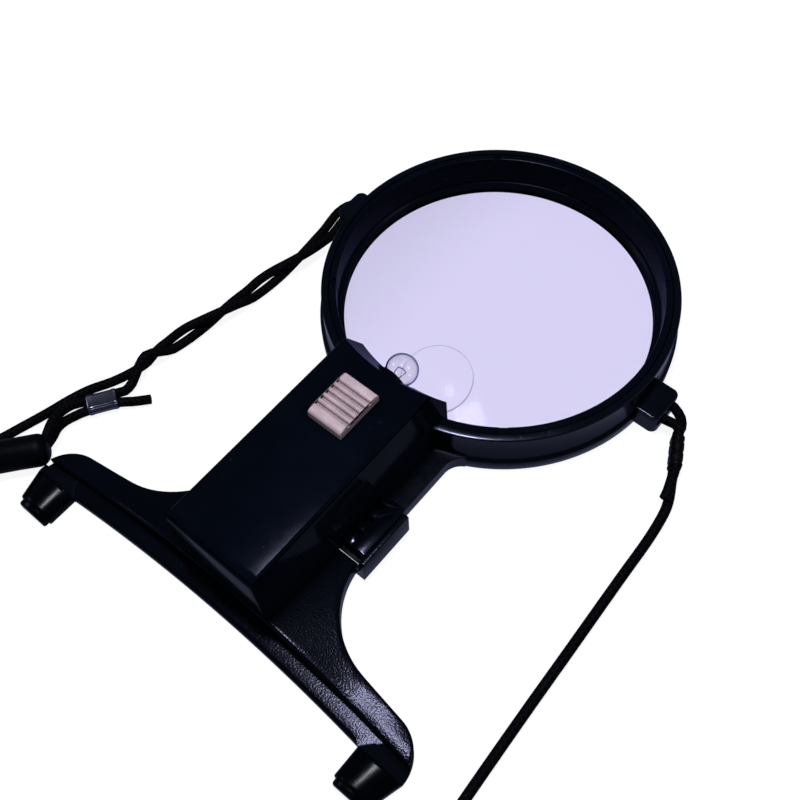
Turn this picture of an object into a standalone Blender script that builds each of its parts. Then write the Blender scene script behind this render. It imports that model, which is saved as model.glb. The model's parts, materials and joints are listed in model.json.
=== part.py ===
"""Hands-free chest magnifier: a lens ring on an arm, a folding chest plate, a clip-over light and a neck cord.

Metres, +Z up. The object lies on a table at z = 0 with the wearer's side at -Y. The origin is the middle of
the bottom of the rigid object. Distances along the arm are measured from the lens centre towards the wearer.
"""
import math

import bmesh
import bpy
from mathutils import Matrix, Vector

MM = 0.001

# Clearances and mesh fineness
GAP = 0.3 * MM
OVERLAP = 0.5 * MM
TURN_STEPS = 80
SMALL_STEPS = 24
ARC_STEP = math.radians(12)

# Lens ring
RING_RADIUS = 62.0 * MM
RING_HEIGHT = 17.6 * MM
RING_EDGE = 0.6 * MM
BASE_RADIUS = 63.4 * MM
BASE_HEIGHT = 5.0 * MM
BORE_RADIUS = 59.5 * MM
SEAT_THICKNESS = 0.9 * MM
WINDOW_RADIUS = 54.9 * MM

# Lens and its strong segment
LENS_EDGE = 1.5 * MM
LENS_RISE = 7.4 * MM
LENS_RIM = 3.9 * MM
LENS_ARCS = 9
SEGMENT_RADIUS = 12.4 * MM
SEGMENT_REACH = 38.8 * MM
SEGMENT_TURN = math.radians(4.7)
SEGMENT_EDGE = 0.35 * MM
SEGMENT_RISE = 1.3 * MM

# Retaining ring
RETAINER_WALL = 2.45 * MM
RETAINER_LIP = 1.55 * MM
LIP_EDGE = 0.4 * MM
LIP_SLOPE = 1.8 * MM
GROOVE_DEPTH = 0.55 * MM
GROOVE_WIDTH = 0.8 * MM
NOTCH_WIDTH = 3.0 * MM
NOTCH_REACH = 1.6 * MM
NOTCH_DEPTH = 1.8 * MM
NOTCH_START = math.radians(38.4)
NOTCH_COUNT = 4

# Cord and its lugs
CORD = 3.4 * MM
TABLE_GAP = 0.05 * MM
LUG_REACH = 8.6 * MM
LUG_HALF_WIDTH = 7.0 * MM
LUG_FLOOR = 3.4 * MM
LUG_ROOF = 1.4 * MM
LUG_CORNER = 2.5 * MM
LUG_WALL = 1.2 * MM
LUG_MOUTH = 4.4 * MM
CORD_ROOM = 0.6 * MM
POST_RADIUS = 1.1 * MM

# Arm with its notched rails
ARM_TOP = 5.4 * MM
ARM_HALF_WIDTH = 25.7 * MM
ARM_FILLET = 7.0 * MM
ARM_REACH = 103.8 * MM
RAIL_LENGTH = 20.0 * MM
RAIL_TOP = 10.0 * MM
RAIL_HALF_OUTER = 27.2 * MM
RAIL_DEPTH = 8.6 * MM
TOOTH = 3.0 * MM
TOOTH_PITCH = 5.65 * MM
TOOTH_LENGTH = 3.0 * MM
TOOTH_COUNT = 4

# Chest plate
HINGE_REACH = 95.0 * MM
HINGE_HEIGHT = 5.0 * MM
NECK_REACH = 105.5 * MM
EAR_THICKNESS = 2.0 * MM
EAR_TOP = 10.6 * MM
EAR_REACH = 85.0 * MM
EAR_WEB = 1.6 * MM
WING_TOP = 5.0 * MM
FAIRING_TOP = 9.8 * MM
FAIRING_FLAT = 18.5 * MM
FAIRING_FADE = 38.0 * MM
STEP_REACH = 137.9 * MM
FRONT_REACH = 144.0 * MM
CHEST_RADIUS = 678.0 * MM
CHEST_FLANGE = 3.0 * MM
WING_REACH = 135.05 * MM
WING_FLARE = 0.4 * MM
WING_LEAN = 0.146
SIDE_FILLET = 28.0 * MM
SHOULDER_RADIUS = 13.0 * MM
LEG_REACH = 147.0 * MM
LEG_HALF_SPAN = 78.0 * MM
NECK_SPARE = 5.0 * MM
BOW_STEPS = 10

# Rubber feet
FOOT_WIDTH = 16.5 * MM
ROOF_RUN = 12.0 * MM
FOOT_TAPER = 3.0 * MM
FOOT_END = 157.6 * MM
FOOT_REACH = 159.5 * MM
FOOT_SIDE = 2.4 * MM
FOOT_TOP = 6.4 * MM
FOOT_CAP_INSET = 1.0 * MM
TONGUE_LENGTH = 8.0 * MM
TONGUE_HALF_WIDTH = 4.0 * MM
TONGUE_BOTTOM = 1.2 * MM
TONGUE_THICKNESS = 2.2 * MM

# Hinge pins and the screws of the light case
PIN_RADIUS = 1.5 * MM
PIN_LENGTH = 6.3 * MM
EAR_SKIN = 0.5 * MM
SCREW_REACHES = (76.0 * MM, 98.0 * MM)
SCREW_RADIUS = 1.25 * MM
SCREW_HEAD_RADIUS = 2.75 * MM
SCREW_HEAD = 2.0 * MM
SCREW_TOP = 11.0 * MM
BOSS_WALL = 1.35 * MM

# Light case
CASE_TOP = 37.8 * MM
CASE_TOP_HALF = 17.0 * MM
CASE_DRAFT = 0.0405
CASE_REACH = 138.0 * MM
CASE_FRONT = 50.0 * MM
CASE_WALL = 1.7 * MM
CASE_END_ROUND = 3.5 * MM
CASE_FLOOR = 1.7 * MM
COVER_THICKNESS = 2.0 * MM
HOOD_RADIUS = 62.2 * MM
HOOK_RADIUS = 54.5 * MM
HOOK_SHOULDER = 23.6 * MM
CHAMBER_FRONT = 66.0 * MM
CHAMBER_BACK_WALL = 2.0 * MM
COVER_RIB = 1.2 * MM
COVER_RIB_DEPTH = 2.2 * MM

# Cells and their contacts
CELL_RADIUS = 7.25 * MM
CELL_LENGTH = 50.5 * MM
CELL_NUB = 1.2 * MM
CELL_NUB_RADIUS = 2.7 * MM
CELL_BETWEEN = 0.4 * MM
CELL_SETBACK = 10.0 * MM
LID_SPACE = 10.0 * MM
CRADLE_STEPS = (10.5 * MM, 28.5 * MM, 44.5 * MM)
CRADLE_WIDTH = 1.6 * MM
CELL_BOTTOM = 11.5 * MM
STRIP = 0.5 * MM
STRIP_HALF_HEIGHT = 5.0 * MM
SPRING_WIRE = 0.45 * MM
SPRING_RADIUS = 3.6 * MM
SPRING_TURNS = 3

# Lamp
LAMP_HEIGHT = 26.3 * MM
LAMP_REACH = 58.0 * MM
GLOBE_RADIUS = 5.5 * MM
GLASS = 0.5 * MM
NECK_RADIUS = 3.6 * MM
NECK_LENGTH = 3.0 * MM
CAP_RADIUS = 4.7 * MM
CAP_LENGTH = 10.4 * MM
CAP_HOLLOW = 4.2 * MM
SOCKET_WALL = 1.2 * MM
SOCKET_LENGTH = 9.3 * MM
FILAMENT_WIRE = 0.35 * MM
FILAMENT_HALF = 1.2 * MM

# Switch
BOARD_BOTTOM = 28.2 * MM
BOARD_THICKNESS = 1.2 * MM
BOARD_LENGTH = 22.0 * MM
LEDGE = 1.6 * MM
TRACK = 0.4 * MM
TRACK_HALF_WIDTH = 2.5 * MM
CONTACT_HALF_LENGTH = 5.4 * MM
CONTACT_HALF_WIDTH = 5.0 * MM
CONTACT_THICKNESS = 0.8 * MM
PEG = 3.0 * MM
PEG_HEIGHT = 1.8 * MM
KNOB_SETBACK = 9.85 * MM
KNOB_LENGTH = 17.5 * MM
KNOB_WIDTH = 13.0 * MM
KNOB_HEIGHT = 3.7 * MM
KNOB_RIBS = 6
KNOB_GROOVE = 0.9 * MM
KNOB_GROOVE_DEPTH = 1.4 * MM
STEM = 6.0 * MM
STEM_FLANGE = 1.5 * MM
STEM_FLANGE_THICKNESS = 1.8 * MM
SWITCH_TRAVEL = 5.0 * MM

# Pieces on the cord
CORD_STEP = 11.0 * MM
SLEEVE_WIDTH = 4.4 * MM
SLEEVE_HEIGHT = 7.6 * MM
FERRULE_WIDTH = 7.2 * MM
FERRULE_HEIGHT = 4.2 * MM
SLIDER_RADIUS = 5.6 * MM
SLIDER_END = 4.0 * MM
COIL_RADIUS = 18.7 * MM
COIL_HALF_WIDTH = 3.9 * MM
COIL_HEIGHT = 7.4 * MM
COIL_CENTRE = (68.0 * MM, -146.0 * MM)
TIE_WIDTH = 4.0 * MM
TIE_WALL = 0.8 * MM
TIE_ANGLE = math.radians(20)
COIL_LIFT = GAP + TIE_WALL + 0.05 * MM

# Heights and places that follow from the sizes above
LENS_Y = (FOOT_REACH - BASE_RADIUS) / 2
LENS_BOTTOM = SEAT_THICKNESS + GAP
LENS_RADIUS = BORE_RADIUS - 2 * GAP
LENS_EDGE_TOP = LENS_BOTTOM + LENS_EDGE
DOME_RADIUS = LENS_RADIUS - LENS_RIM
RETAINER_RADIUS = BORE_RADIUS - GAP
RETAINER_INNER = RETAINER_RADIUS - RETAINER_WALL
RETAINER_BOTTOM = LENS_EDGE_TOP + GAP
SLOT_TOP = LUG_FLOOR + CORD + CORD_ROOM
CORD_HEIGHT = (LUG_FLOOR + SLOT_TOP) / 2
LUG_TOP = SLOT_TOP + LUG_ROOF
POST_X = RING_RADIUS + 2 * GAP + CORD + POST_RADIUS
CASE_BOTTOM = ARM_TOP + GAP
COVER_BOTTOM = CASE_TOP - COVER_THICKNESS
BODY_TOP = COVER_BOTTOM - GAP
CELL_HEIGHT = CELL_BOTTOM + CELL_RADIUS
CELL_X = CELL_RADIUS + CELL_BETWEEN / 2
CHAMBER_BACK = CASE_REACH - CHAMBER_BACK_WALL
SOCKET_RADIUS = CAP_RADIUS + GAP + SOCKET_WALL
BOARD_TOP = BOARD_BOTTOM + BOARD_THICKNESS
BOARD_FRONT = LAMP_REACH + CAP_LENGTH + GAP + STRIP + GAP
BOARD_BACK = BOARD_FRONT + BOARD_LENGTH
CELL_FRONT = BOARD_FRONT + CELL_SETBACK
CELL_BACK = CELL_FRONT + CELL_LENGTH
KNOB_REACH = BOARD_FRONT + KNOB_SETBACK
WING_HALF_SPAN = LEG_HALF_SPAN + WING_FLARE
FOOT_OUTER = LEG_HALF_SPAN
FOOT_INNER = LEG_HALF_SPAN - FOOT_WIDTH
TRACK_BOTTOM = BOARD_TOP + GAP
CONTACT_BOTTOM = TRACK_BOTTOM + TRACK + GAP
CONTACT_TOP = CONTACT_BOTTOM + CONTACT_THICKNESS
KNOB_BOTTOM = CASE_TOP + GAP
EAR_INNER = RAIL_HALF_OUTER + GAP
RAIL_HALF_INNER = RAIL_HALF_OUTER - RAIL_DEPTH


def out(reach):
    """World Y of a place at this distance from the lens centre, towards the wearer."""
    return LENS_Y - reach


def case_half(height):
    """Half the outer width of the light case at a height."""
    return CASE_TOP_HALF + (CASE_TOP - height) * CASE_DRAFT


def under_case(reach):
    """Height of the chest plate under the light case, which rises towards the wearer."""
    share = (reach - NECK_REACH) / (CASE_REACH - NECK_REACH)
    return ARM_TOP + share * (FAIRING_TOP - ARM_TOP)


def bow(x, reach):
    """Reach of an edge that is hollowed to the chest, at a distance from the middle."""
    return reach + CHEST_RADIUS - math.sqrt(CHEST_RADIUS ** 2 - x ** 2)


# ---------------------------------------------------------------- making objects

def clear_scene():
    for old in list(bpy.data.objects):
        bpy.data.objects.remove(old, do_unlink=True)


def collection(name):
    made = bpy.data.collections.new(name)
    bpy.context.scene.collection.children.link(made)
    return made


def material(name, colour, roughness, metallic=0.0, alpha=1.0):
    made = bpy.data.materials.new(name)
    made.use_nodes = True
    shader = made.node_tree.nodes["Principled BSDF"]
    shader.inputs["Base Color"].default_value = (*colour, 1.0)
    shader.inputs["Roughness"].default_value = roughness
    shader.inputs["Metallic"].default_value = metallic
    shader.inputs["Alpha"].default_value = alpha
    return made


def add(name, mesh, look):
    """An object in the parts collection."""
    made = bpy.data.objects.new(name, mesh)
    PARTS.objects.link(made)
    if look:
        mesh.materials.append(look)
    return made


def from_shape(name, shape, look=None, smooth=False):
    """An object from a bmesh, with its faces pointing out."""
    bmesh.ops.recalc_face_normals(shape, faces=shape.faces)
    mesh = bpy.data.meshes.new(name)
    shape.to_mesh(mesh)
    shape.free()
    if smooth:
        mesh.shade_smooth()
        mesh.set_sharp_from_angle(angle=math.radians(40))
    return add(name, mesh, look)


def block(name, x, y, z, look=None):
    """A box between two values along each axis."""
    shape = bmesh.new()
    bmesh.ops.create_cube(shape, size=1.0)
    size = [abs(high - low) for low, high in (x, y, z)]
    middle = [(low + high) / 2 for low, high in (x, y, z)]
    bmesh.ops.scale(shape, vec=size, verts=shape.verts)
    bmesh.ops.translate(shape, vec=middle, verts=shape.verts)
    return from_shape(name, shape, look)


def rod(name, radius, start, end, look=None, steps=SMALL_STEPS):
    """A cylinder between two points."""
    start, end = Vector(start), Vector(end)
    shape = bmesh.new()
    along = end - start
    place = Matrix.Translation((start + end) / 2) @ along.to_track_quat("Z", "Y").to_matrix().to_4x4()
    bmesh.ops.create_cone(shape, cap_ends=True, segments=steps, radius1=radius, radius2=radius,
                          depth=along.length, matrix=place)
    return from_shape(name, shape, look, smooth=True)


def turned(name, profile, look=None, steps=TURN_STEPS, closed=False):
    """A profile of (radius, height) points, turned about its own Z axis."""
    mesh = bpy.data.meshes.new(name)
    edges = [(i, i + 1) for i in range(len(profile) - 1)]
    if closed:
        edges.append((len(profile) - 1, 0))
    mesh.from_pydata([(radius, 0.0, height) for radius, height in profile], edges, [])
    made = add(name, mesh, look)
    screw = made.modifiers.new("Turn", "SCREW")
    screw.steps = screw.render_steps = steps
    screw.use_merge_vertices = True
    screw.merge_threshold = 0.00001
    screw.use_smooth_shade = True
    return made


def as_mesh(curve):
    """The mesh of a curve object, with its caps welded, in place of the curve."""
    bpy.context.view_layer.update()
    evaluated = curve.evaluated_get(bpy.context.evaluated_depsgraph_get())
    mesh = bpy.data.meshes.new_from_object(evaluated)
    shape = bmesh.new()
    shape.from_mesh(mesh)
    bmesh.ops.remove_doubles(shape, verts=shape.verts, dist=0.000001)
    bmesh.ops.recalc_face_normals(shape, faces=shape.faces)
    shape.to_mesh(mesh)
    shape.free()
    made = bpy.data.objects.new(curve.name, mesh)
    made.matrix_world = curve.matrix_world
    name = curve.name
    bpy.data.objects.remove(curve, do_unlink=True)
    made.name = name
    PARTS.objects.link(made)
    return made


def prism(name, outline, low, high, look=None, turn=None):
    """A flat outline given a thickness from low to high, and then turned by a matrix."""
    curve = bpy.data.curves.new(name, "CURVE")
    curve.dimensions = "2D"
    curve.fill_mode = "BOTH"
    curve.extrude = (high - low) / 2
    spline = curve.splines.new("POLY")
    spline.points.add(len(outline) - 1)
    for point, (x, y) in zip(spline.points, outline):
        point.co = (x, y, 0.0, 1.0)
    spline.use_cyclic_u = True
    holder = bpy.data.objects.new(name, curve)
    PARTS.objects.link(holder)
    made = as_mesh(holder)
    made.data.transform(Matrix.Translation((0.0, 0.0, (low + high) / 2)))
    if turn:
        made.data.transform(turn)
    if look:
        made.data.materials.append(look)
    return made


SIDEWAYS = Matrix(((0, 0, 1, 0), (1, 0, 0, 0), (0, 1, 0, 0), (0, 0, 0, 1)))
"""Turns an outline in (Y, Z) with its thickness along X into place."""
ENDWAYS = Matrix(((1, 0, 0, 0), (0, 0, -1, 0), (0, 1, 0, 0), (0, 0, 0, 1)))
"""Turns an outline in (X, Z) with its thickness along -Y into place."""


def combine(target, tool, operation):
    """Join a tool to a target, or cut it away, and put the tool with the guides."""
    boolean = target.modifiers.new(f"{operation.title()} {tool.name}", "BOOLEAN")
    boolean.operation = operation
    boolean.solver = "EXACT"
    boolean.object = tool
    tool.hide_render = True
    tool.display_type = "WIRE"
    if tool.name in PARTS.objects:
        PARTS.objects.unlink(tool)
        GUIDES.objects.link(tool)


def cut(target, *tools):
    for tool in tools:
        combine(target, tool, "DIFFERENCE")


def join(target, *tools):
    for tool in tools:
        combine(target, tool, "UNION")


def rounded(corners):
    """An outline from (x, y, radius) corners, each rounded by an arc of its radius."""
    points = []
    for i, (x, y, radius) in enumerate(corners):
        here = Vector((x, y))
        to_last = (Vector(corners[i - 1][:2]) - here).normalized()
        to_next = (Vector(corners[(i + 1) % len(corners)][:2]) - here).normalized()
        if radius <= 0:
            points.append((x, y))
            continue
        half = to_last.angle(to_next) / 2
        centre = here + (to_last + to_next).normalized() * radius / math.sin(half)
        first = here + to_last * radius / math.tan(half) - centre
        last = here + to_next * radius / math.tan(half) - centre
        sweep = first.angle_signed(last)
        count = max(1, round(abs(sweep) / ARC_STEP))
        for k in range(count + 1):
            angle = -sweep * k / count
            turned_point = Matrix.Rotation(angle, 2) @ first
            points.append(tuple(centre + turned_point))
    return points


def mirrored(half):
    """A whole outline from its right half, listed from the middle round to the middle."""
    return half + [(-x, y) for x, y in reversed(half) if x > 0]


def both_sides(name):
    """Names and signs of a left and a right piece."""
    return ((f"{name}_left", -1), (f"{name}_right", 1))


# ---------------------------------------------------------------- lens ring and arm

def ring_body(name, look):
    return turned(name, [
        (RING_RADIUS - RING_EDGE, RING_HEIGHT),
        (RING_RADIUS, RING_HEIGHT - RING_EDGE),
        (RING_RADIUS, BASE_HEIGHT + RING_EDGE),
        (BASE_RADIUS, BASE_HEIGHT - RING_EDGE),
        (BASE_RADIUS, RING_EDGE),
        (BASE_RADIUS - RING_EDGE, 0.0),
        (WINDOW_RADIUS, 0.0),
        (WINDOW_RADIUS, SEAT_THICKNESS),
        (BORE_RADIUS, SEAT_THICKNESS),
        (BORE_RADIUS, RING_HEIGHT),
    ], look, closed=True)


def arm_outline():
    """The arm from inside the ring's wall to its end, with fillets where it leaves the ring."""
    fillet_x = ARM_HALF_WIDTH + ARM_FILLET
    fillet_reach = math.sqrt((BASE_RADIUS + ARM_FILLET) ** 2 - fillet_x ** 2)
    angle = math.atan2(fillet_x, fillet_reach)
    inside = (BORE_RADIUS + RING_RADIUS) / 2
    half = []
    for k in range(5):
        turn = angle * k / 4
        half.append((inside * math.sin(turn), out(inside * math.cos(turn))))
    for k in range(6):
        turn = angle + (math.pi / 2 - angle) * k / 5
        half.append((fillet_x - ARM_FILLET * math.sin(turn), out(fillet_reach - ARM_FILLET * math.cos(turn))))
    half.append((ARM_HALF_WIDTH, out(ARM_REACH)))
    return mirrored(half)


def rails(frame):
    """The two raised rails, with teeth towards the light case."""
    start = ARM_REACH - RAIL_LENGTH
    for name, side in both_sides("rail"):
        rail = block(name, (side * RAIL_HALF_INNER, side * RAIL_HALF_OUTER), (out(ARM_REACH), out(start)),
                     (0.0, RAIL_TOP))
        join(frame, rail)
    for name, side in both_sides("rail_slot"):
        for k in range(TOOTH_COUNT):
            near = start + TOOTH + k * TOOTH_PITCH
            far = min(near + TOOTH_PITCH - TOOTH, ARM_REACH)
            if k == TOOTH_COUNT - 1:
                far = ARM_REACH + OVERLAP
            slot = block(f"{name}_{k}", (side * (RAIL_HALF_INNER - OVERLAP),
                                         side * (RAIL_HALF_INNER + TOOTH_LENGTH)),
                         (out(far), out(near)), (ARM_TOP, RAIL_TOP + OVERLAP))
            cut(frame, slot)


def lugs(frame):
    """A lug on each side of the ring, slotted for the cord, which loops round a post in the slot."""
    for name, side in both_sides("lug"):
        tip = RING_RADIUS + LUG_REACH
        root = (BORE_RADIUS + RING_RADIUS) / 2
        corners = [(root, LENS_Y - LUG_HALF_WIDTH, 0), (tip, LENS_Y - LUG_HALF_WIDTH, LUG_CORNER),
                   (tip, LENS_Y + LUG_HALF_WIDTH, LUG_CORNER), (root, LENS_Y + LUG_HALF_WIDTH, 0)]
        outline = [(side * x, y) for x, y in rounded(corners)]
        lug = prism(name, outline, 0.0, LUG_TOP)
        inside = LUG_HALF_WIDTH - LUG_WALL
        room = block(f"{name}_room", (side * (RING_RADIUS + GAP), side * (tip - LUG_MOUTH + OVERLAP)),
                     (LENS_Y - inside, LENS_Y + inside), (LUG_FLOOR, SLOT_TOP))
        mouth = block(f"{name}_mouth", (side * (tip - LUG_MOUTH), side * (tip + GAP)),
                      (LENS_Y - 2 * LUG_HALF_WIDTH, LENS_Y + 2 * LUG_HALF_WIDTH), (LUG_FLOOR, SLOT_TOP))
        post = rod(f"{name}_post", POST_RADIUS, (side * POST_X, LENS_Y, LUG_FLOOR - OVERLAP),
                   (side * POST_X, LENS_Y, SLOT_TOP + OVERLAP), steps=12)
        join(frame, lug)
        cut(frame, room, mouth)
        join(frame, post)


def lens_frame(look):
    frame = ring_body("lens_frame", look)
    frame.location.y = LENS_Y
    arm = prism("arm", arm_outline(), 0.0, ARM_TOP)
    join(frame, arm)
    rails(frame)
    lugs(frame)
    for name, side in both_sides("pin_hole"):
        hole = rod(name, PIN_RADIUS + GAP, (side * (EAR_INNER + EAR_THICKNESS - EAR_SKIN - PIN_LENGTH - GAP),
                                           out(HINGE_REACH), HINGE_HEIGHT),
                   (side * (RAIL_HALF_OUTER + OVERLAP), out(HINGE_REACH), HINGE_HEIGHT), steps=16)
        cut(frame, hole)
    for k, reach in enumerate(SCREW_REACHES):
        hole = rod(f"arm_hole_{k}", SCREW_RADIUS + GAP, (0, out(reach), -OVERLAP),
                   (0, out(reach), ARM_TOP + OVERLAP), steps=16)
        sink = rod(f"arm_sink_{k}", SCREW_HEAD_RADIUS + GAP, (0, out(reach), -OVERLAP),
                   (0, out(reach), SCREW_HEAD + 2 * GAP), steps=16)
        cut(frame, hole, sink)
    return frame


def retaining_ring(look):
    lip_inner = RETAINER_INNER - RETAINER_LIP
    slope_top = RETAINER_BOTTOM + LIP_EDGE + LIP_SLOPE
    ring = turned("retaining_ring", [
        (RETAINER_RADIUS - GAP, RING_HEIGHT),
        (RETAINER_RADIUS, RING_HEIGHT - GAP),
        (RETAINER_RADIUS, RETAINER_BOTTOM),
        (lip_inner, RETAINER_BOTTOM),
        (lip_inner, RETAINER_BOTTOM + LIP_EDGE),
        (RETAINER_INNER, slope_top),
        (RETAINER_INNER + GROOVE_DEPTH, slope_top + GAP),
        (RETAINER_INNER + GROOVE_DEPTH, slope_top + GROOVE_WIDTH),
        (RETAINER_INNER, slope_top + GROOVE_WIDTH + GAP),
        (RETAINER_INNER, RING_HEIGHT - GAP),
        (RETAINER_INNER + GAP, RING_HEIGHT),
    ], look, closed=True)
    ring.location.y = LENS_Y
    for k in range(NOTCH_COUNT):
        angle = NOTCH_START + k * math.tau / NOTCH_COUNT
        notch = block(f"notch_{k}", (RETAINER_INNER - OVERLAP, RETAINER_INNER + NOTCH_REACH),
                      (-NOTCH_WIDTH / 2, NOTCH_WIDTH / 2), (RING_HEIGHT - NOTCH_DEPTH, RING_HEIGHT + OVERLAP))
        notch.location.y = LENS_Y
        notch.rotation_euler.z = angle
        cut(ring, notch)
    return ring


def dome_height(radius):
    """Height of the lens surface at a distance from its axis."""
    ball = (DOME_RADIUS ** 2 + LENS_RISE ** 2) / (2 * LENS_RISE)
    return LENS_EDGE_TOP + LENS_RISE - ball + math.sqrt(ball ** 2 - radius ** 2)


def main_lens(look):
    dome = [(DOME_RADIUS * k / LENS_ARCS, dome_height(DOME_RADIUS * k / LENS_ARCS)) for k in range(LENS_ARCS)]
    lens = turned("main_lens", dome + [
        (DOME_RADIUS, LENS_EDGE_TOP),
        (LENS_RADIUS, LENS_EDGE_TOP),
        (LENS_RADIUS, LENS_BOTTOM),
        (0.0, LENS_BOTTOM),
    ], look)
    lens.location.y = LENS_Y
    ball = (DOME_RADIUS ** 2 + LENS_RISE ** 2) / (2 * LENS_RISE)
    arcs = 5
    crown = [(SEGMENT_RADIUS * k / arcs, SEGMENT_EDGE + SEGMENT_RISE * (1 - (k / arcs) ** 2)) for k in range(arcs + 1)]
    segment = turned("segment", crown + [(SEGMENT_RADIUS, -1.5 * MM), (0.0, -1.5 * MM)], steps=40)
    lean = math.asin(SEGMENT_REACH / ball)
    segment.rotation_euler = (lean, 0.0, SEGMENT_TURN)
    away = Vector((math.sin(SEGMENT_TURN), -math.cos(SEGMENT_TURN))) * SEGMENT_REACH
    segment.location = (away.x, LENS_Y + away.y, dome_height(SEGMENT_REACH) - SEGMENT_RADIUS ** 2 / (2 * ball))
    join(lens, segment)
    return lens


# ---------------------------------------------------------------- light case

def case_blank(name, look):
    """The whole light case as one drafted solid, shaped to hook over the ring's rim."""
    back_bottom = under_case(CASE_REACH) + GAP
    side = rounded([
        (out(CASE_REACH), back_bottom, 0),
        (out(CASE_REACH), CASE_TOP, CASE_END_ROUND),
        (out(CASE_FRONT), CASE_TOP, 0),
        (out(CASE_FRONT), CASE_BOTTOM, 0),
        (out(NECK_REACH), CASE_BOTTOM, 0),
    ])
    blank = prism(name, side, -1.0, 1.0, look, SIDEWAYS)
    for vertex in blank.data.vertices:
        vertex.co.x *= case_half(vertex.co.z)
    lift = HOOD_RADIUS + (HOOD_RADIUS - HOOK_RADIUS) / (CASE_TOP - HOOK_SHOULDER) * 5 * MM
    front = turned(f"{name}_front", [
        (0.0, CASE_TOP + 5 * MM),
        (lift, CASE_TOP + 5 * MM),
        (HOOK_RADIUS, HOOK_SHOULDER),
        (HOOK_RADIUS, 0.0),
        (0.0, 0.0),
    ])
    rim = turned(f"{name}_rim", [
        (RING_RADIUS + GAP, RING_HEIGHT + GAP),
        (RING_RADIUS + GAP, 0.0),
        (RETAINER_INNER - GAP, 0.0),
        (RETAINER_INNER - GAP, RING_HEIGHT + GAP),
    ], closed=True)
    for tool in (front, rim):
        tool.location.y = LENS_Y
    cut(blank, front, rim)
    return blank


def chamber():
    """The hollow of the light case: drafted like it, with a floor that follows its underside."""
    floor = CASE_BOTTOM + CASE_FLOOR
    side = [
        (out(CHAMBER_BACK), under_case(CHAMBER_BACK) + GAP + CASE_FLOOR),
        (out(CHAMBER_BACK), CASE_TOP),
        (out(CHAMBER_FRONT), CASE_TOP),
        (out(CHAMBER_FRONT), floor),
        (out(NECK_REACH), floor),
    ]
    made = prism("chamber", side, -1.0, 1.0, None, SIDEWAYS)
    for vertex in made.data.vertices:
        vertex.co.x *= case_half(vertex.co.z) - CASE_WALL
    return made


def light_body(look):
    body = case_blank("light_body", look)
    lid = block("lid_space", (-0.05, 0.05), (out(0.2), out(0.0)), (BODY_TOP, CASE_TOP + LID_SPACE))
    cut(body, lid, chamber())
    inner = case_half(CASE_BOTTOM) - CASE_WALL
    for k, step in enumerate(CRADLE_STEPS):
        reach = CELL_FRONT + step
        rib = block(f"cradle_{k}", (-inner, inner), (out(reach + CRADLE_WIDTH), out(reach)),
                    (CASE_BOTTOM + CASE_FLOOR / 2 + max(0.0, under_case(reach) - ARM_TOP), CELL_BOTTOM - GAP))
        join(body, rib)
    for name, side in both_sides("ledge"):
        outer = case_half(BOARD_BOTTOM) - CASE_WALL / 2
        ledge = block(name, (side * (CELL_X + CELL_RADIUS + GAP), side * outer),
                      (out(BOARD_BACK), out(CHAMBER_FRONT - OVERLAP)), (BOARD_BOTTOM - GAP - LEDGE, BOARD_BOTTOM - GAP))
        join(body, ledge)
    bore = rod("lamp_bore", SOCKET_RADIUS + GAP, (0, out(CHAMBER_FRONT + OVERLAP), LAMP_HEIGHT),
               (0, out(CASE_FRONT), LAMP_HEIGHT), steps=32)
    cut(body, bore)
    for k, reach in enumerate(SCREW_REACHES):
        boss = rod(f"boss_{k}", SCREW_RADIUS + GAP + BOSS_WALL, (0, out(reach), CASE_BOTTOM + CASE_FLOOR / 2),
                   (0, out(reach), SCREW_TOP + GAP + BOSS_WALL / 2), steps=16)
        hole = rod(f"boss_hole_{k}", SCREW_RADIUS + GAP, (0, out(reach), CASE_BOTTOM - OVERLAP),
                   (0, out(reach), SCREW_TOP + GAP), steps=16)
        join(body, boss)
        cut(body, hole)
    return body


def light_cover(look):
    cover = case_blank("light_cover", look)
    below = block("cover_split", (-0.05, 0.05), (out(0.2), out(0.0)), (0.0, COVER_BOTTOM))
    cut(cover, below)
    for name, side in both_sides("cover_rib"):
        outer = case_half(BODY_TOP) - CASE_WALL - GAP
        rib = block(name, (side * (outer - COVER_RIB), side * outer),
                    (out(CHAMBER_BACK - 4 * MM), out(CHAMBER_FRONT + 4 * MM)),
                    (COVER_BOTTOM - COVER_RIB_DEPTH, COVER_BOTTOM + OVERLAP))
        join(cover, rib)
    slot = block("knob_slot", (-STEM / 2 - GAP, STEM / 2 + GAP),
                 (out(KNOB_REACH + STEM / 2 + GAP), out(KNOB_REACH - STEM / 2 - GAP - SWITCH_TRAVEL)),
                 (COVER_BOTTOM - OVERLAP, CASE_TOP + OVERLAP))
    cut(cover, slot)
    return cover


# ---------------------------------------------------------------- cells, lamp and switch

def cell(name, x, nub_forward, look):
    """One cell along Y, with its nub towards the lens or towards the wearer."""
    made = turned(name, [
        (0.0, CELL_LENGTH),
        (CELL_NUB_RADIUS, CELL_LENGTH),
        (CELL_NUB_RADIUS, CELL_LENGTH - CELL_NUB),
        (CELL_RADIUS - GAP, CELL_LENGTH - CELL_NUB),
        (CELL_RADIUS, CELL_LENGTH - CELL_NUB - GAP),
        (CELL_RADIUS, GAP),
        (CELL_RADIUS - GAP, 0.0),
        (0.0, 0.0),
    ], look, steps=SMALL_STEPS)
    if nub_forward:
        made.rotation_euler.x = -math.pi / 2
        made.location = (x, out(CELL_BACK), CELL_HEIGHT)
    else:
        made.rotation_euler.x = math.pi / 2
        made.location = (x, out(CELL_FRONT), CELL_HEIGHT)
    return made


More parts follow.
